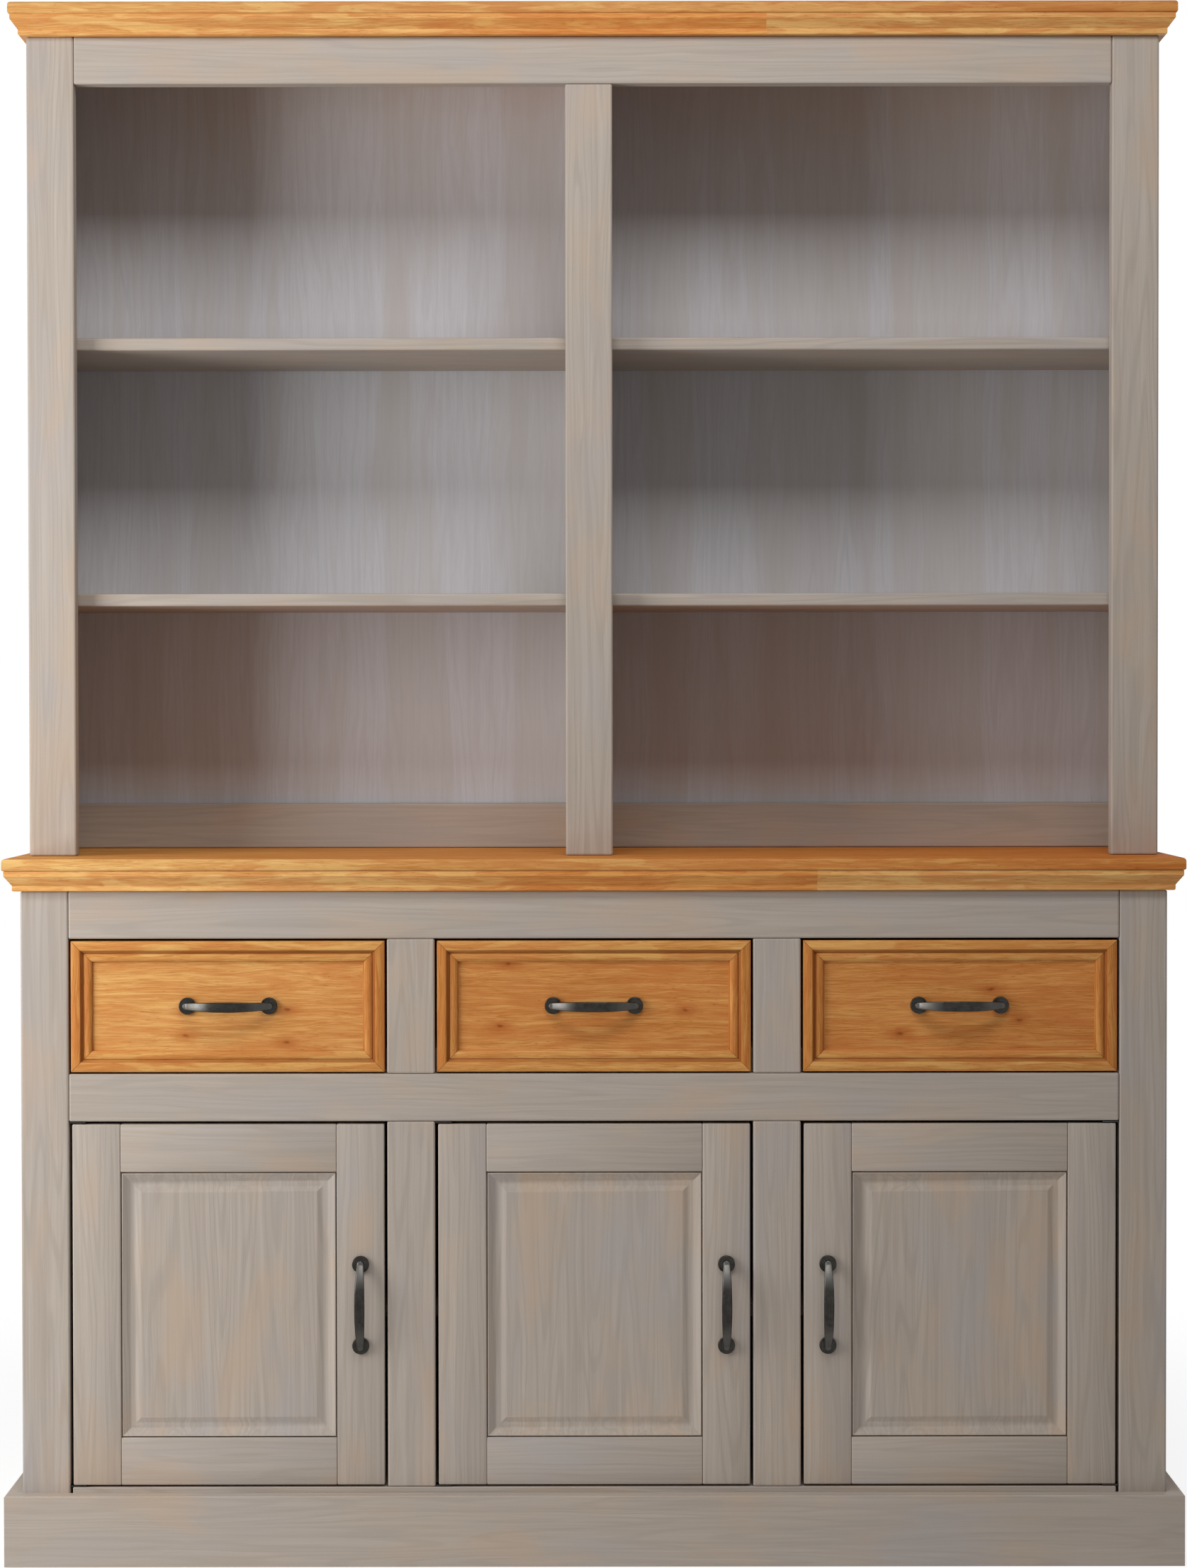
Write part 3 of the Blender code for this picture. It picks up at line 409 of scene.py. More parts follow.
def iron(grain, name):
    """Blackened iron, brushed along the bow, with a painted sheen that lightens it towards the ends of a bow: soft
    stretched highlights.
    """
    if name in bpy.data.materials:
        return bpy.data.materials[name]
    look = settings()[1]
    made, tree, shader = new_material(name)
    laid = along_grain(tree, grain)[1]
    # brush marks about 0.7 mm apart, drawn coarser than real ones so that they show, and dull spots
    sized = add(tree, "VectorMath", {0: laid, 1: drawn_out(0.03, 0.0007)}, operation="MULTIPLY")[0]
    brushed = add(tree, "TexNoise", {"Vector": sized, "Scale": 1.0, "Detail": 2.0})[0]
    spots = add(tree, "TexNoise", {"Vector": laid, "Scale": 1 / SPOT, "Detail": 3.0})[0]
    mixed = add(tree, "Mix", {0: 0.5, 2: brushed, 3: spots})[0]
    share = add(tree, "MapRange", {"Value": mixed, "From Min": 0.35, "From Max": 0.65})[0]
    shade = add(tree, "Mix", {0: share, 6: rgba(look.iron), 7: rgba(look.iron_worn)}, data_type="RGBA")[2]
    # painted sheen: lightens the iron towards the ends of the bows, where lamp reflections would fall
    painted_sheen = add(tree, "Attribute", attribute_name="painted_sheen")["Fac"]
    shade = add(tree, "Mix", {0: painted_sheen, 6: shade, 7: rgba(look.iron_painted_sheen)}, data_type="RGBA")[2]
    surfaced(tree, shader, shade, mixed, 0.44, 0.30)
    shader.inputs["Metallic"].default_value = 1.0
    return made


# Modelling

def deselect():
    bpy.ops.object.select_all(action="DESELECT")


def block(low, high):
    """A box primitive that fills the space from low to high: a new object, or more of the mesh being edited."""
    low, high = Vector(low), Vector(high)
    bpy.ops.mesh.primitive_cube_add(size=1.0, location=(low + high) / 2, scale=high - low)


def begin(name, low, high):
    """Starts a piece from a box and opens it for editing."""
    deselect()
    block(low, high)
    return opened(name)


def opened(name):
    made = bpy.context.object
    made.name = made.data.name = name
    bpy.ops.object.transform_apply()
    bpy.ops.object.mode_set(mode="EDIT")
    return made


def choose(kind, test):
    """Selects the vertices, edges or faces that pass the test, and nothing else."""
    bpy.ops.mesh.select_mode(type=kind)
    bpy.ops.mesh.select_all(action="DESELECT")
    mesh = bpy.context.object.data
    shape = bmesh.from_edit_mesh(mesh)
    for item in {"VERT": shape.verts, "EDGE": shape.edges, "FACE": shape.faces}[kind]:
        if test(item):
            item.select_set(True)
    shape.select_flush_mode()
    bmesh.update_edit_mesh(mesh)


def rounded(test, offset, segments):
    """Rounds the edges that pass the test."""
    choose("EDGE", test)
    bpy.ops.mesh.bevel(offset=offset, segments=segments, affect="EDGES")


def front_face(face):
    return face.normal.y < -0.9


def paint(made, materials, test_for_slot):
    """Gives the piece its materials; test_for_slot says which slot each face takes."""
    for material in materials:
        made.data.materials.append(material)
    for number in range(1, len(materials)):
        choose("FACE", lambda face: test_for_slot(face) == number)
        made.active_material_index = number
        bpy.ops.object.material_slot_assign()


def close(made, angle=32.0):
    """Ends the editing: faces outwards, soft shading over the rounded edges."""
    bpy.ops.mesh.select_mode(type="FACE")
    bpy.ops.mesh.select_all(action="SELECT")
    bpy.ops.mesh.normals_make_consistent(inside=False)
    bpy.ops.object.mode_set(mode="OBJECT")
    bpy.ops.object.shade_smooth_by_angle(angle=radians(angle))
    return made


def mark(made, name, amount):
    """Stores an amount at every vertex, for the materials to read."""
    stored = made.data.attributes.new(name, "FLOAT", "POINT")
    for vert in made.data.vertices:
        stored.data[vert.index].value = float(amount(vert.co))
    return made


def settle(made, body, slot, *nodes):
    """Puts a finished piece on its body, in place of the CAD nodes if it stands for any."""
    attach(made, body)
    if nodes:
        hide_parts(*nodes)


def copied(source, name, shift=(0.0, 0.0, 0.0), turn=(0.0, 0.0, 0.0)):
    """A copy of a piece with a mesh of its own, moved and turned about the origin."""
    deselect()
    source.select_set(True)
    bpy.context.view_layer.objects.active = source
    bpy.ops.object.duplicate(linked=False)
    made = bpy.context.object
    made.name = made.data.name = name
    made.rotation_euler = turn
    made.location = shift
    bpy.ops.object.transform_apply()
    return made


def arc(radius, steps):
    """Points of a quarter turn: how far along and how far up, from flat to upright."""
    turns = [pi / 2 * number / steps for number in range(steps + 1)]
    return [(radius * sin(turn), radius * (1 - cos(turn))) for turn in turns]


def moulded(name, profile, half, front, back, bottom):
    """A board raised section by section; the profile gives height and reach beyond the carcass."""
    low, reach = profile[0]
    level = profile[1][0]
    made = begin(name, (-half - reach, front - reach, bottom + low), (half + reach, back, bottom + level))
    choose("FACE", lambda face: face.normal.z > 0.9)
    depth = back - front
    for step, (height, out) in enumerate(profile[1:]):
        if step:
            bpy.ops.mesh.extrude_region_move(TRANSFORM_OT_translate={"value": (0.0, 0.0, height - level)})
        grow = ((half + out) / (half + reach), (depth + out) / (depth + reach), 1.0)
        bpy.ops.transform.resize(value=grow, center_override=(0.0, back, bottom + height))
        level, reach = height, out
    return made


def edge_profile(sizes, rise):
    """Section of the edge moulding from the bottom up to its whole rise."""
    points = [(up, sizes.lip_out - sizes.lip_round + along) for along, up in arc(sizes.lip_round, 4)]
    slope_top = sizes.lip_height + sizes.lip_step + sizes.slope_height
    return points + [(sizes.lip_height, sizes.lip_out),
                     (sizes.lip_height + sizes.lip_step, sizes.lip_out + sizes.lip_step),
                     (slope_top, sizes.mould_out), (rise, sizes.mould_out)]


def nose_profile(sizes, thick, overhang):
    """Section of a top board with a rounded nose."""
    lower = [(up, overhang - sizes.nose + along) for along, up in arc(sizes.nose, 5)]
    upper = [(thick - up, overhang - sizes.nose_top + along) for along, up in arc(sizes.nose_top, 6)]
    return lower + upper[::-1]


def stepped_front(name, low, high, steps):
    """A board whose front face is inset step by step; each step gives the inset and the depth behind low.y."""
    made = begin(name, (low.x, low.y + steps[0][1], low.z), high)
    choose("FACE", front_face)
    for (inset, depth), (next_inset, next_depth) in zip(steps, steps[1:]):
        bpy.ops.mesh.inset(thickness=next_inset - inset, depth=depth - next_depth, use_even_offset=True)
    return made


# Operators, one for each piece or group of like pieces

class SIDEBOARD_OT_boards(bpy.types.Operator):
    """Glazes the boards of plinth, base and hutch, and finishes the back boards and door pivots"""

    bl_idname = "sideboard.boards"
    bl_label = "Glaze the boards"

    def execute(self, context):
        looks = ((("stile", "post"), glazed("ZXY", "glazed_pine_upright")),
                 (("rail", "plinth_front"), glazed("XZY", "glazed_pine_level", **LEVEL_GLAZE)),
                 (("side", "partition"), glazed("ZYX", "glazed_pine_wall")),
                 (("shelf", "floor"), glazed("XYZ", "glazed_pine_shelf")),
                 (("plinth_left", "plinth_right"), glazed("YZX", "glazed_pine_return")),
                 (("back_panel",), backing("printed_back_board")),
                 (("pivot",), iron("XZY", "blackened_iron_level")))
        for words, look in looks:
            found = [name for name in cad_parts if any(word in name for word in words)]
            if not found:
                raise RuntimeError("The frame has no node named for " + words[0])
            for name in found:
                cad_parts[name].material_slots[0].material = look
        return {"FINISHED"}


class SIDEBOARD_OT_counter(bpy.types.Operator):
    """Models the counter: a top board with a rounded nose over a mitred edge moulding"""

    bl_idname = "sideboard.counter"
    bl_label = "Counter"

    def execute(self, context):
        sizes, look = settings()
        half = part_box("base_stile_right")[1].x
        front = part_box("base_stile_left")[0].y
        low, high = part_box("counter_moulding")
        profile = edge_profile(sizes, high.z - low.z)
        mould = moulded("counter_edge_moulding", profile, half, front, high.y, low.z)
        paint(mould, [honeyed("XZY", "honey_pine_counter_front", figured=True, joint=COUNTER_JOINT,
                              stain=(PALE_STAIN, look.honey_mould, *STAIN_TURNS)),
                      honeyed("YZX", "honey_pine_return")], lambda face: int(abs(face.normal.x) > 0.5))
        settle(close(mould), "carcass", "honey_stained_pine", "counter_moulding")
        low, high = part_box("counter_board")
        profile = nose_profile(sizes, high.z - low.z, high.x - half)
        top = moulded("counter_top_board", profile, half, front, high.y, low.z)
        deep_nose = [0.9 * part for part in look.honey_deep]
        deep_top = [part * other for part, other in zip(look.honey_top, look.honey_deep)]
        paint(top, [honeyed("XZY", "honey_pine_counter_nose", figured=True, shift=(1.7, 0.3, 0.9),
                            stain=(PLAIN_STAIN, deep_nose, -half, half)),
                    honeyed("XYZ", "honey_pine_counter_board", shift=(0.7, 0.3, 0.9), gloss=0.6, specular=0.03,
                            stain=(look.honey_top, deep_top, -half, half))],
              lambda face: int(abs(face.normal.z) > 0.9))
        settle(close(top), "carcass", "honey_stained_pine", "counter_board")
        return {"FINISHED"}


class SIDEBOARD_OT_cornice(bpy.types.Operator):
    """Models the cornice: the counter's moulding and board again, on top of the hutch"""

    bl_idname = "sideboard.cornice"
    bl_label = "Cornice"

    def execute(self, context):
        sizes, look = settings()
        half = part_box("hutch_stile_right")[1].x
        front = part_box("hutch_stile_left")[0].y
        low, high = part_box("cornice")
        mould_low, mould_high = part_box("counter_moulding")
        rise = mould_high.z - mould_low.z
        profile = edge_profile(sizes, rise)
        profile += [(rise + up, out) for up, out in nose_profile(sizes, high.z - low.z - rise, high.x - half)]
        made = moulded("cornice_moulded", profile, half, front, high.y, low.z)
        deep = [0.8 * part for part in look.honey_deep]
        looks = [honeyed("XZY", "honey_pine_cornice_moulding", figured=True, joint=CORNICE_JOINT,
                         shift=(4.1, 0.6, 2.2), stain=(look.honey_cornice, look.honey_mould, *STAIN_TURNS)),
                 honeyed("YZX", "honey_pine_return"),
                 honeyed("XZY", "honey_pine_cornice_board", figured=True, shift=(6.3, 1.1, 0.7),
                         stain=(PLAIN_STAIN, deep, -half, 1.1 * half))]

        def slot(face):
            if face.calc_center_median().z > low.z + rise - SNUG:
                return 2
            return int(abs(face.normal.x) > 0.5)

        paint(made, looks, slot)
        settle(close(made), "carcass", "honey_stained_pine", "cornice")
        return {"FINISHED"}


class SIDEBOARD_OT_drawer_fronts(bpy.types.Operator):
    """Models the drawer fronts: band, ogee, bead and sunk panel, mitred at the corners"""

    bl_idname = "sideboard.drawer_fronts"
    bl_label = "Drawer fronts"

    def steps(self, sizes):
        """Inset and depth of each line of the moulding, from the edge inwards."""
        eased = 0.3 * FRONT_EDGE
        points = [(0.0, FRONT_EDGE), (eased, eased), (FRONT_EDGE, 0.0), (sizes.band, 0.0)]
        for share in (0.12, 0.3, 0.5, 0.7, 0.88, 1.0):
            points.append((sizes.band + sizes.ogee * share, sizes.ogee_depth * (1 - cos(pi * share)) / 2))
        start = sizes.band + sizes.ogee
        for share in (0.06, 0.16, 0.3, 0.46, 0.62, 0.76, 0.88, 0.96):
            rise = sizes.bead_rise * sin(pi * min(1.0, share + 0.04)) ** 0.6
            points.append((start + sizes.bead * share, sizes.ogee_depth - rise + BEAD_FALL * share))
        end = start + sizes.bead
        return points + [(end + inset, sizes.field_depth - rise) for inset, rise in PANEL_FILLET]

    def execute(self, context):
        sizes, look = settings()
        steps = self.steps(sizes)
        field = steps[-1][0]
        foot = sizes.band + sizes.ogee
        for word in WORDS:
            node = "drawer_%s_front" % word
            low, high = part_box(node)
            low = low - Vector((0.0, 0.0, sizes.drawer_fill))
            made = stepped_front("drawer_%s_moulded_front" % word, low, high, steps)
            middle = (low + high) / 2
            half_x = (high.x - low.x) / 2
            half_z = (high.z - low.z) / 2

            def insets(point):
                return half_x - abs(point.x - middle.x), half_z - abs(point.z - middle.z)

            def on_mitre(vert):
                across, up = insets(vert.co)
                return abs(across - up) < SNUG and vert.co.y < high.y - SNUG

            def mitre_edge(edge):
                first, second = edge.verts
                return (on_mitre(first) and on_mitre(second)
                        and abs(insets(first.co)[0] - insets(second.co)[0]) > SNUG)

            choose("EDGE", mitre_edge)
            bpy.ops.mesh.bevel(offset=sizes.mitre, segments=2, affect="EDGES", offset_type="WIDTH")
            choose("VERT", lambda vert: on_mitre(vert) and SNUG < insets(vert.co)[0] < field - SNUG)
            bpy.ops.transform.translate(value=(0.0, 1.2 * sizes.mitre, 0.0))
            shift, first, second = DRAWER_STAINS[word]
            looks = [honeyed("XZY", "honey_pine_panel_" + word, shift=shift, stain=(first, second, low.x, high.x),
                             knots=(look.knot, look.honey_knot, 0.11, 0.05, 0.0030)),
                     honeyed("XZY", "honey_pine_level", figured=True, quirks=(look.knot, "quirk", 0.5),
                             stain=(look.honey_strip, look.honey_strip, 0.0, 1.0)),
                     honeyed("ZXY", "honey_pine_upright", quirks=(look.knot, "quirk", 0.6),
                             stain=(look.honey_upright, look.honey_upright, 0.0, 1.0)),
                     open_joint("XZY", "honey_pine_open_joint")]

            def slot(face):
                centre = face.calc_center_median()
                across, up = insets(centre)
                on_front = centre.y < high.y - SNUG
                if abs(across - up) < 1.3 * sizes.mitre and on_front and max(across, up) < field:
                    return 3
                if min(across, up) > field - SNUG or face.normal.y > 0.9:
                    return 0
                return 1 if up < across else 2

            # the ogee and the foot of the bead are darkened: stain gathered there, and painted shade in the
            # recesses
            def in_quirk(point):
                past_foot = min(insets(point)) - foot
                in_ogee = abs(past_foot + 0.3 * sizes.ogee) < 0.42 * sizes.ogee
                return point.y < high.y - SNUG and (in_ogee or abs(past_foot - sizes.bead) < SNUG)

            paint(made, looks, slot)
            mark(close(made, 28.0), "quirk", in_quirk)
            settle(made, "drawer_" + word, "honey_stained_pine", node)
        return {"FINISHED"}


class SIDEBOARD_OT_drawer_boxes(bpy.types.Operator):
    """Models the drawer boxes: two sides, front, back and a thin bottom let into them"""

    bl_idname = "sideboard.drawer_boxes"
    bl_label = "Drawer boxes"

    def execute(self, context):
        sizes = settings()[0]
        wall = sizes.box_wall
        inner = wall + BOARD_JOINT
        middle = wall + BOARD_JOINT / 2
        for word in WORDS:
            node = "drawer_%s_box" % word
            low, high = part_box(node)
            made = begin("drawer_%s_boards" % word, low, (low.x + wall, high.y, high.z))
            block((high.x - wall, low.y, low.z), high)
            block((low.x + inner, low.y, low.z), (high.x - inner, low.y + wall, high.z))
            block((low.x + inner, high.y - wall, low.z), (high.x - inner, high.y, high.z))
            rounded(lambda edge: True, BOX_EDGE, 2)
            block((low.x + inner, low.y + inner, low.z + wall - sizes.box_bottom),
                  (high.x - inner, high.y - inner, low.z + wall))

            def slot(face):
                centre = face.calc_center_median()
                if min(centre.x - low.x, high.x - centre.x) < middle:
                    return 1
                return 2 if min(centre.y - low.y, high.y - centre.y) > middle else 0

            paint(made, [plain("XZY", "plain_pine_level"), plain("YZX", "plain_pine_side"),
                         plain("XYZ", "plain_pine_bottom")], slot)
            settle(close(made), "drawer_" + word, "plain_pine", node)
        return {"FINISHED"}


class SIDEBOARD_OT_doors(bpy.types.Operator):
    """Models the doors: stiles and rails round a panel with a hollow margin"""

    bl_idname = "sideboard.doors"
    bl_label = "Doors"

    def boards(self, sizes, word):
        """Two stiles and two rails with eased edges."""
        low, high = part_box("door_%s_frame" % word)
        wide = sizes.door_board
        left, right, bottom, top = low.x + wide, high.x - wide, low.z + wide, high.z - wide
        high = high + Vector((sizes.hinge_fill if word == "right" else 0.0, 0.0, sizes.top_fill))
        low = low - Vector((0.0 if word == "right" else sizes.hinge_fill, 0.0, 0.0))
        made = begin("door_%s_boards" % word, low, (left, high.y, high.z))
        block((right, low.y, low.z), high)
        left, right = left + BOARD_JOINT, right - BOARD_JOINT
        block((left, low.y, low.z), (right, high.y, bottom))
        block((left, low.y, top), (right, high.y, high.z))
        rounded(lambda edge: True, sizes.arris, 3)
        near, far = left - BOARD_JOINT / 2, right + BOARD_JOINT / 2
        paint(made, [glazed("ZXY", "glazed_pine_upright"), glazed("XZY", "glazed_pine_level", **LEVEL_GLAZE)],
              lambda face: int(near < face.calc_center_median().x < far))
        return close(made)

    def panel(self, sizes, look, word):
        """The panel: a rim, a hollow margin and a flat field. Its tongue stops where the boards hide it."""
        low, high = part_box("door_%s_panel" % word)
        door_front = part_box("door_%s_frame" % word)[0].y
        hidden = sizes.tongue - SNUG
        low = Vector((low.x + hidden, door_front, low.z + hidden))
        high = Vector((high.x - hidden, high.y, high.z - hidden))
        rim = sizes.rim_gap
        steps = [(0.0, sizes.tongue_set), (rim - SNUG, sizes.tongue_set)]
        steps += [(rim + up, sizes.rim_set + sizes.rim_round - along) for along, up in arc(sizes.rim_round, 4)]
        start = rim + sizes.rim_round
        run = sizes.cove - sizes.rim_round
        for number in range(1, COVE_STEPS + 1):
            # an even slope in the first third, a turn in the second and an even slope up in the last
            share = number / COVE_STEPS
            turned = min(max(share - 1 / 3, 0.0), 1 / 3)
            fall = sizes.cove_fall * min(share, 2 / 3)
            fall -= (sizes.cove_fall + sizes.cove_rise) * turned * turned * 1.5
            fall -= sizes.cove_rise * max(share - 2 / 3, 0.0)
            steps.append((start + run * share, sizes.rim_set + run * fall))
        # a narrow flat inside the cove keeps the soft shading off the field
        field = rim + sizes.cove
        steps.append((field + sizes.rim_round, steps[-1][1]))
        made = stepped_front("door_%s_coved_panel" % word, low, high, steps)
        made.data.materials.append(glazed("ZXY", "glazed_pine_panel", bare=0.56,
                                          worn=(look.glaze_thin, "thin_glaze", 0.5)))

        def wiped(point):
            inset = min(point.x - low.x, high.x - point.x, point.z - low.z, high.z - point.z)
            return abs(inset - field) < SNUG or abs(inset - start) < SNUG

        return mark(close(made, 24.0), "thin_glaze", wiped)

    def execute(self, context):
        sizes, look = settings()
        for word in WORDS:
            body = "door_" + word
            settle(self.boards(sizes, word), body, "grey_glazed_pine", body + "_frame")
            settle(self.panel(sizes, look, word), body, "grey_glazed_pine", body + "_panel")
        return {"FINISHED"}


class SIDEBOARD_OT_handles(bpy.types.Operator):
    """Models a bow handle on two rosettes, and copies it to every drawer and door"""

    bl_idname = "sideboard.handles"
    bl_label = "Handles"

    def bow(self, sizes):
        """A flat strap along X, bowed towards -Y, round at its ends."""
        half, thick, end = sizes.handle_span / 2, sizes.strap_thick, sizes.strap_end
        reach = half + 0.62 * end
        made = begin("bow_handle", (-reach, -thick / 2, -sizes.strap / 2), (reach, thick / 2, sizes.strap / 2))
        choose("EDGE", lambda edge: abs(edge.verts[0].co.x - edge.verts[1].co.x) > reach)
        bpy.ops.mesh.subdivide(number_cuts=BOW_CUTS)
        low = sizes.rosette_thick + 0.9 * thick
        high = sizes.handle_reach - thick / 2

        def height(along):
            return low + (high - low) * (1 - min(1.0, abs(along) / half) ** BOW_POWER)

        shape = bmesh.from_edit_mesh(made.data)
        for station in sorted({round(vert.co.x, 6) for vert in shape.verts}):
            share = min(1.0, abs(station) / half)
            wide = end + (sizes.strap - end) * (1 - share * share)
            past = (abs(station) - (reach - end / 2)) / (end / 2)
            if past > 0:
                wide *= max(0.30, sqrt(max(0.0, 1 - past * past)))
            choose("VERT", lambda vert: abs(vert.co.x - station) < SNUG)
            bpy.ops.transform.resize(value=(1.0, 1.0, wide / sizes.strap), center_override=(station, 0.0, 0.0))
            bpy.ops.transform.translate(value=(0.0, -height(station), 0.0))
            # the section leans with the slope of the bow, taken over a millimetre
            slope = atan2(height(station + 0.0005) - height(station - 0.0005), 0.001)
            for vert in [vert for vert in bmesh.from_edit_mesh(made.data).verts if vert.select]:
                off = vert.co.y + height(station)
                vert.co.x += off * sin(slope)
                vert.co.y = -height(station) + off * cos(slope)
            bmesh.update_edit_mesh(made.data)
        rounded(lambda edge: edge.calc_face_angle(0.0) > radians(50), STRAP_EDGE, 3)
        return made

    def rosettes(self, sizes):
        """Turned rosettes with a rolled edge, and the short posts that carry the bow."""
        for side in (-1, 1):
            at = side * sizes.handle_span / 2
            post = sizes.rosette_thick + 0.7 * sizes.strap_thick
            for radius, deep, edge in ((sizes.rosette, sizes.rosette_thick, ROSETTE_EDGE),
                                       (0.36 * sizes.rosette, post, POST_EDGE)):
                bpy.ops.mesh.primitive_cylinder_add(vertices=40, radius=radius, depth=deep,
                                                    location=(at, -deep / 2, 0.0), rotation=(pi / 2, 0.0, 0.0))
                shape = bmesh.from_edit_mesh(bpy.context.object.data)
                mine = {face.index for face in shape.faces if face.select}
                shape.faces.index_update()
                choose("FACE", lambda face: face.index in mine and front_face(face) and len(face.verts) > 8)
                for inset, depth in ROSETTE_RINGS if radius == sizes.rosette else ():
                    bpy.ops.mesh.inset(thickness=inset, depth=depth)

                def on_rim(vert):
                    out = (vert.co.xz - Vector((at, 0.0))).length
                    return abs(vert.co.y + deep) < SNUG and abs(out - radius) < SNUG

                rounded(lambda line: all(on_rim(vert) for vert in line.verts), edge, 3)

    def execute(self, context):
        sizes = settings()[0]
        model = self.bow(sizes)
        self.rosettes(sizes)

        def painted_sheen(point):
            # painted sheen in place of lamp reflections: the iron is lightened towards the ends of the bow, fully
            # at the end with the smaller X and half as much at the other
            along = (abs(point.x) / (sizes.handle_span / 2) - 0.42) / 0.3
            proud = point.y < -sizes.rosette_thick - 0.2 * sizes.strap_thick
            share = 1.0 if point.x < 0 else 0.5
            return share * min(max(along, 0.0), 1.0) if proud else 0.0

        mark(close(model, 40.0), "painted_sheen", painted_sheen)
        for word in WORDS:
            for kind in ("drawer", "door"):
                node = "%s_%s_handle" % (kind, word)
                low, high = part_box(node)
                middle = (low + high) / 2
                upright = kind == "door"
                made = copied(model, "%s_%s_bow_handle" % (kind, word), (middle.x, high.y, middle.z),
                              (0.0, pi / 2 if upright else 0.0, 0.0))
                made.data.materials.append(iron("ZXY", "blackened_iron_upright") if upright
                                           else iron("XZY", "blackened_iron_level"))
                settle(made, "%s_%s" % (kind, word), "black_iron", node)
        bpy.data.objects.remove(model)
        return {"FINISHED"}


class SIDEBOARD_OT_back_screws(bpy.types.Operator):
    """Models a countersunk screw head, and copies it along the edges of the back boards"""

    bl_idname = "sideboard.back_screws"
    bl_label = "Back screws"

    def head(self, radius):
        """A flat head on the face y = 0, with a crossed slot."""
        proud = SCREW_PROUD
        deselect()
        bpy.ops.mesh.primitive_cylinder_add(vertices=24, radius=radius, depth=4 * proud,
                                            location=(0.0, -proud, 0.0), rotation=(pi / 2, 0.0, 0.0))
        made = opened("back_screw_head")
        rounded(lambda edge: all(abs(vert.co.y - proud) < SNUG for vert in edge.verts), 0.6 * proud, 2)
        close(made)
        for turn in (0.0, pi / 2):
            bpy.ops.mesh.primitive_cube_add(size=1.0, location=(0.0, proud, 0.0), rotation=(0.0, turn, 0.0),
                                            scale=(1.1 * radius, 1.6 * proud, 0.24 * radius))
            cutter = bpy.context.object
            bpy.ops.object.transform_apply()
            bpy.context.view_layer.objects.active = made
            slot = made.modifiers.new("slot", "BOOLEAN")
            slot.operation, slot.object = "DIFFERENCE", cutter
            bpy.ops.object.modifier_apply(modifier=slot.name)
            bpy.data.objects.remove(cutter)
        return made

    def execute(self, context):
        sizes = settings()[0]
        edge = sizes.screw_edge
        for word in ("base", "hutch"):
            node = word + "_back_panel"
            low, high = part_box(node)
            across = max(2, round((high.x - low.x) / sizes.screw_pitch))
            up = max(2, round((high.z - low.z) / sizes.screw_pitch))
            wide, tall = high.x - low.x - 2 * edge, high.z - low.z - 2 * edge
            places = [(low.x + edge + wide * column / across, low.z + edge + tall * row / up)
                      for column in range(across + 1) for row in range(up + 1)
                      if column in (0, across) or row in (0, up)]
            model = self.head(sizes.screw)
            heads = [copied(model, "%s_screw" % word, (x, high.y, z)) for x, z in places]
            bpy.data.objects.remove(model)
            deselect()
            for one in heads:
                one.select_set(True)
            made = context.view_layer.objects.active = heads[0]
            bpy.ops.object.join()
            made.name = made.data.name = word + "_back_screws"
            made.data.materials.append(iron("XZY", "blackened_iron_level"))
            settle(made, "carcass", "black_iron")
        return {"FINISHED"}


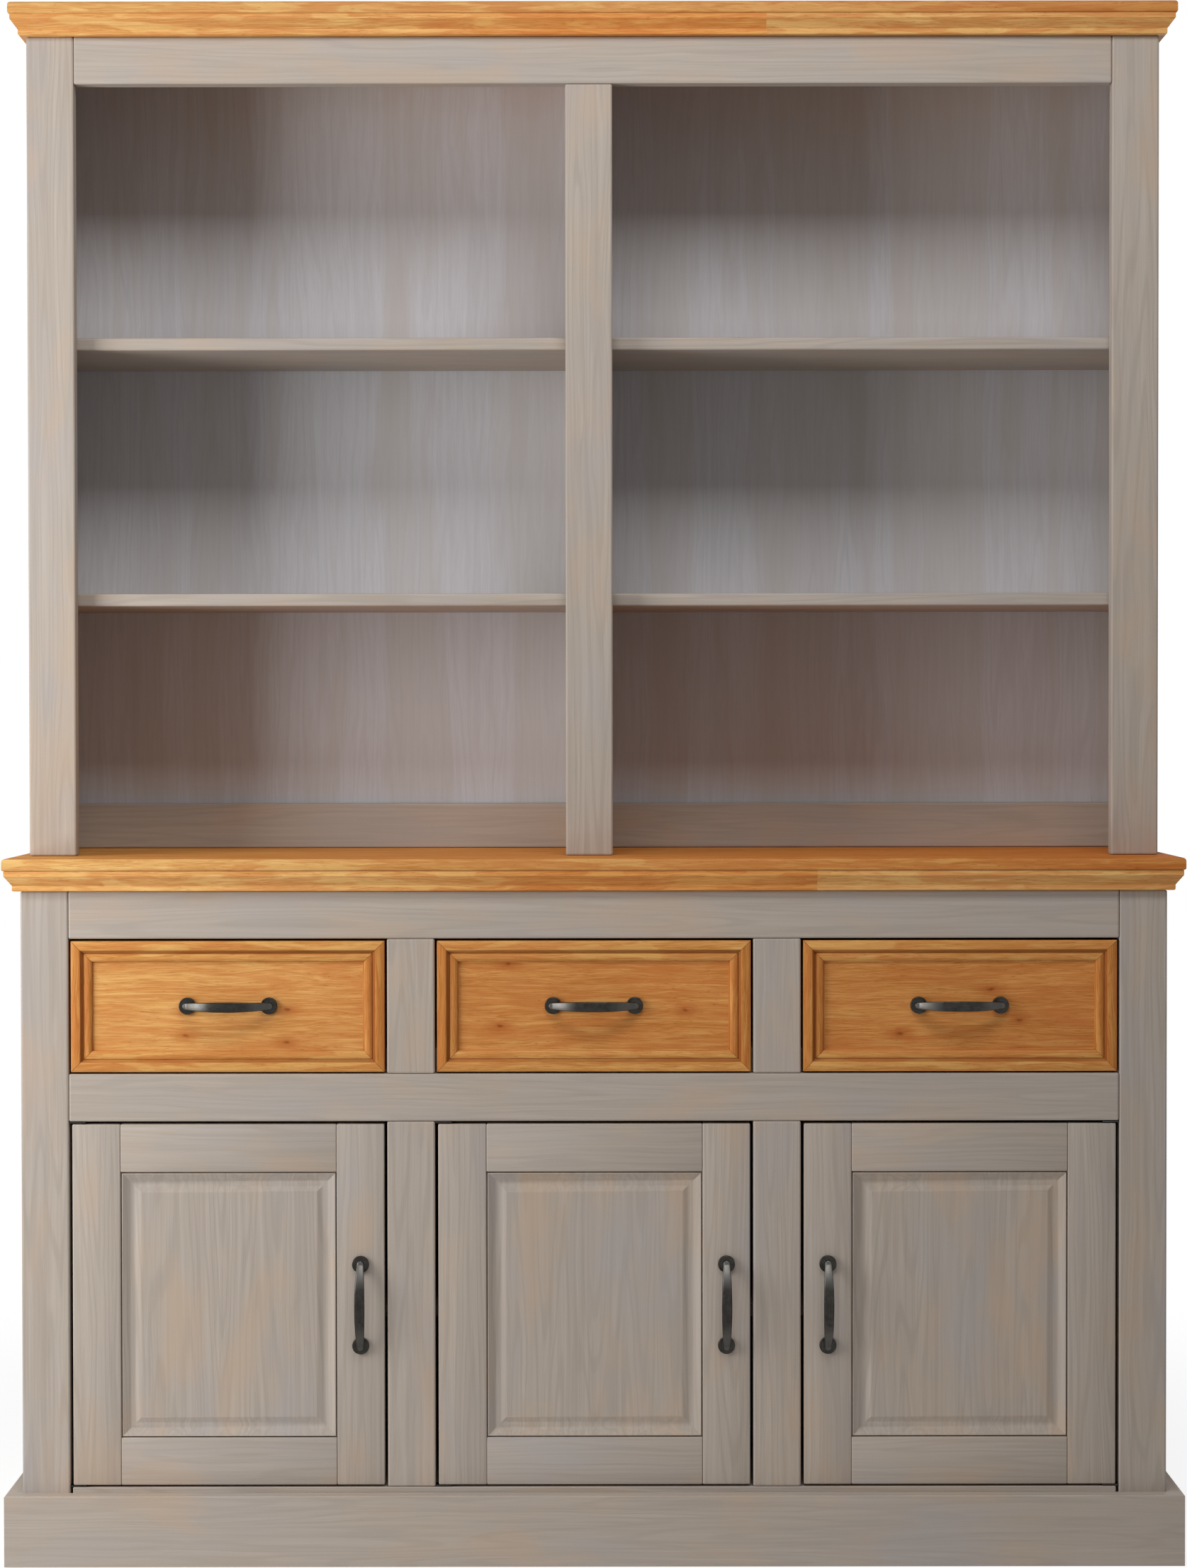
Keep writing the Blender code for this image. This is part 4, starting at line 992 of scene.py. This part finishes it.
class SIDEBOARD_OT_stage(bpy.types.Operator):
    """Sets the pale floor, the soft studio light and the camera"""

    bl_idname = "sideboard.stage"
    bl_label = "Stage"

    def shown(self, tree):
        """1 for what the camera sees, straight, mirrored or through something clear, and 0 for lighting."""
        path = add(tree, "LightPath")
        seen = add(tree, "Math", {0: path["Is Camera Ray"], 1: path["Is Glossy Ray"]}, operation="MAXIMUM")[0]
        return add(tree, "Math", {0: seen, 1: path["Is Transmission Ray"]}, operation="MAXIMUM")[0]

    def execute(self, context):
        scene = context.scene
        look = settings()[1]
        deselect()
        bpy.ops.mesh.primitive_circle_add(vertices=96, radius=FLOOR_RADIUS, fill_type="NGON",
                                          location=(0.0, 0.0, -FLOOR_DROP))
        floor = context.object
        floor.name = "floor"
        bpy.ops.object.transform_apply()
        made, tree, shader = new_material("pale_floor")
        for key, value in (("Base Color", rgba(look.floor)), ("Roughness", 0.9), ("Specular IOR Level", 0.1)):
            shader.inputs[key].default_value = value
        place = add(tree, "TexCoord")["Object"]
        away = add(tree, "VectorMath", {0: place}, operation="LENGTH")["Value"]
        near, far = FLOOR_FADE
        seen = add(tree, "MapRange", {"Value": away, "From Min": near, "From Max": far,
                                      "To Min": 1.0, "To Max": 0.0}, interpolation_type="SMOOTHSTEP")[0]
        # towards the camera the lit floor comes out white, with a faint shadow left on it
        pale = add(tree, "Math", {0: self.shown(tree), 1: GLOW_SHARE}, operation="MULTIPLY")[0]
        glow = add(tree, "Emission", {"Strength": FLOOR_GLOW})[0]
        laid = add(tree, "MixShader", {0: pale, 1: shader.outputs[0], 2: glow})[0]
        clear = add(tree, "BsdfTransparent")[0]
        mixed = add(tree, "MixShader", {0: seen, 1: clear, 2: laid})[0]
        tree.links.new(mixed, tree.nodes["Material Output"].inputs["Surface"])
        floor.data.materials.append(made)

        world = bpy.data.worlds.new("studio")
        world.use_nodes = True
        scene.world = world
        tree = world.node_tree
        strength = add(tree, "MapRange", {"Value": self.shown(tree), "To Min": AMBIENT, "To Max": 1.0})[0]
        sky = tree.nodes["Background"]
        sky.inputs["Color"].default_value = (1.0, 1.0, 1.0, 1.0)
        tree.links.new(strength, sky.inputs["Strength"])

        for name, (at, aim, size, energy) in LAMPS.items():
            bpy.ops.object.light_add(type="AREA", location=at)
            lamp = context.object
            lamp.name = name
            lamp.rotation_euler = (Vector(aim) - Vector(at)).to_track_quat("-Z", "Y").to_euler()
            lamp.data.shape = "RECTANGLE"
            lamp.data.size, lamp.data.size_y = size
            lamp.data.energy = energy

        bpy.ops.object.camera_add(location=CAMERA_AT, rotation=CAMERA_TURN)
        camera = context.object
        camera.data.sensor_width = SENSOR
        camera.data.lens = FOCAL_PIXELS * SENSOR / PICTURE_HEIGHT
        scene.camera = camera
        scene.view_settings.view_transform = "Standard"
        return {"FINISHED"}


STEPS = (SIDEBOARD_OT_boards, SIDEBOARD_OT_counter, SIDEBOARD_OT_cornice, SIDEBOARD_OT_drawer_fronts,
         SIDEBOARD_OT_drawer_boxes, SIDEBOARD_OT_doors, SIDEBOARD_OT_handles, SIDEBOARD_OT_back_screws,
         SIDEBOARD_OT_stage)


class SIDEBOARD_PT_panel(bpy.types.Panel):
    """Lists the sideboard's pieces, sizes and colours"""

    bl_idname = "SIDEBOARD_PT_panel"
    bl_label = "Sideboard"
    bl_space_type = "VIEW_3D"
    bl_region_type = "UI"
    bl_category = "Sideboard"

    def draw(self, context):
        for step in STEPS:
            self.layout.operator(step.bl_idname)
        for group in (context.scene.sideboard_sizes, context.scene.sideboard_finishes):
            for key in group.__annotations__:
                self.layout.prop(group, key)


CLASSES = (SideboardSizes, SideboardFinishes, *STEPS, SIDEBOARD_PT_panel)


def register():
    for one in CLASSES:
        bpy.utils.register_class(one)
    bpy.types.Scene.sideboard_sizes = PointerProperty(type=SideboardSizes)
    bpy.types.Scene.sideboard_finishes = PointerProperty(type=SideboardFinishes)


def unregister():
    del bpy.types.Scene.sideboard_finishes
    del bpy.types.Scene.sideboard_sizes
    for one in reversed(CLASSES):
        bpy.utils.unregister_class(one)


def main():
    register()
    bpy.ops.sideboard.boards()
    bpy.ops.sideboard.counter()
    bpy.ops.sideboard.cornice()
    bpy.ops.sideboard.drawer_fronts()
    bpy.ops.sideboard.drawer_boxes()
    bpy.ops.sideboard.doors()
    bpy.ops.sideboard.handles()
    bpy.ops.sideboard.back_screws()
    bpy.ops.sideboard.stage()


if __name__ == "__main__":
    main()
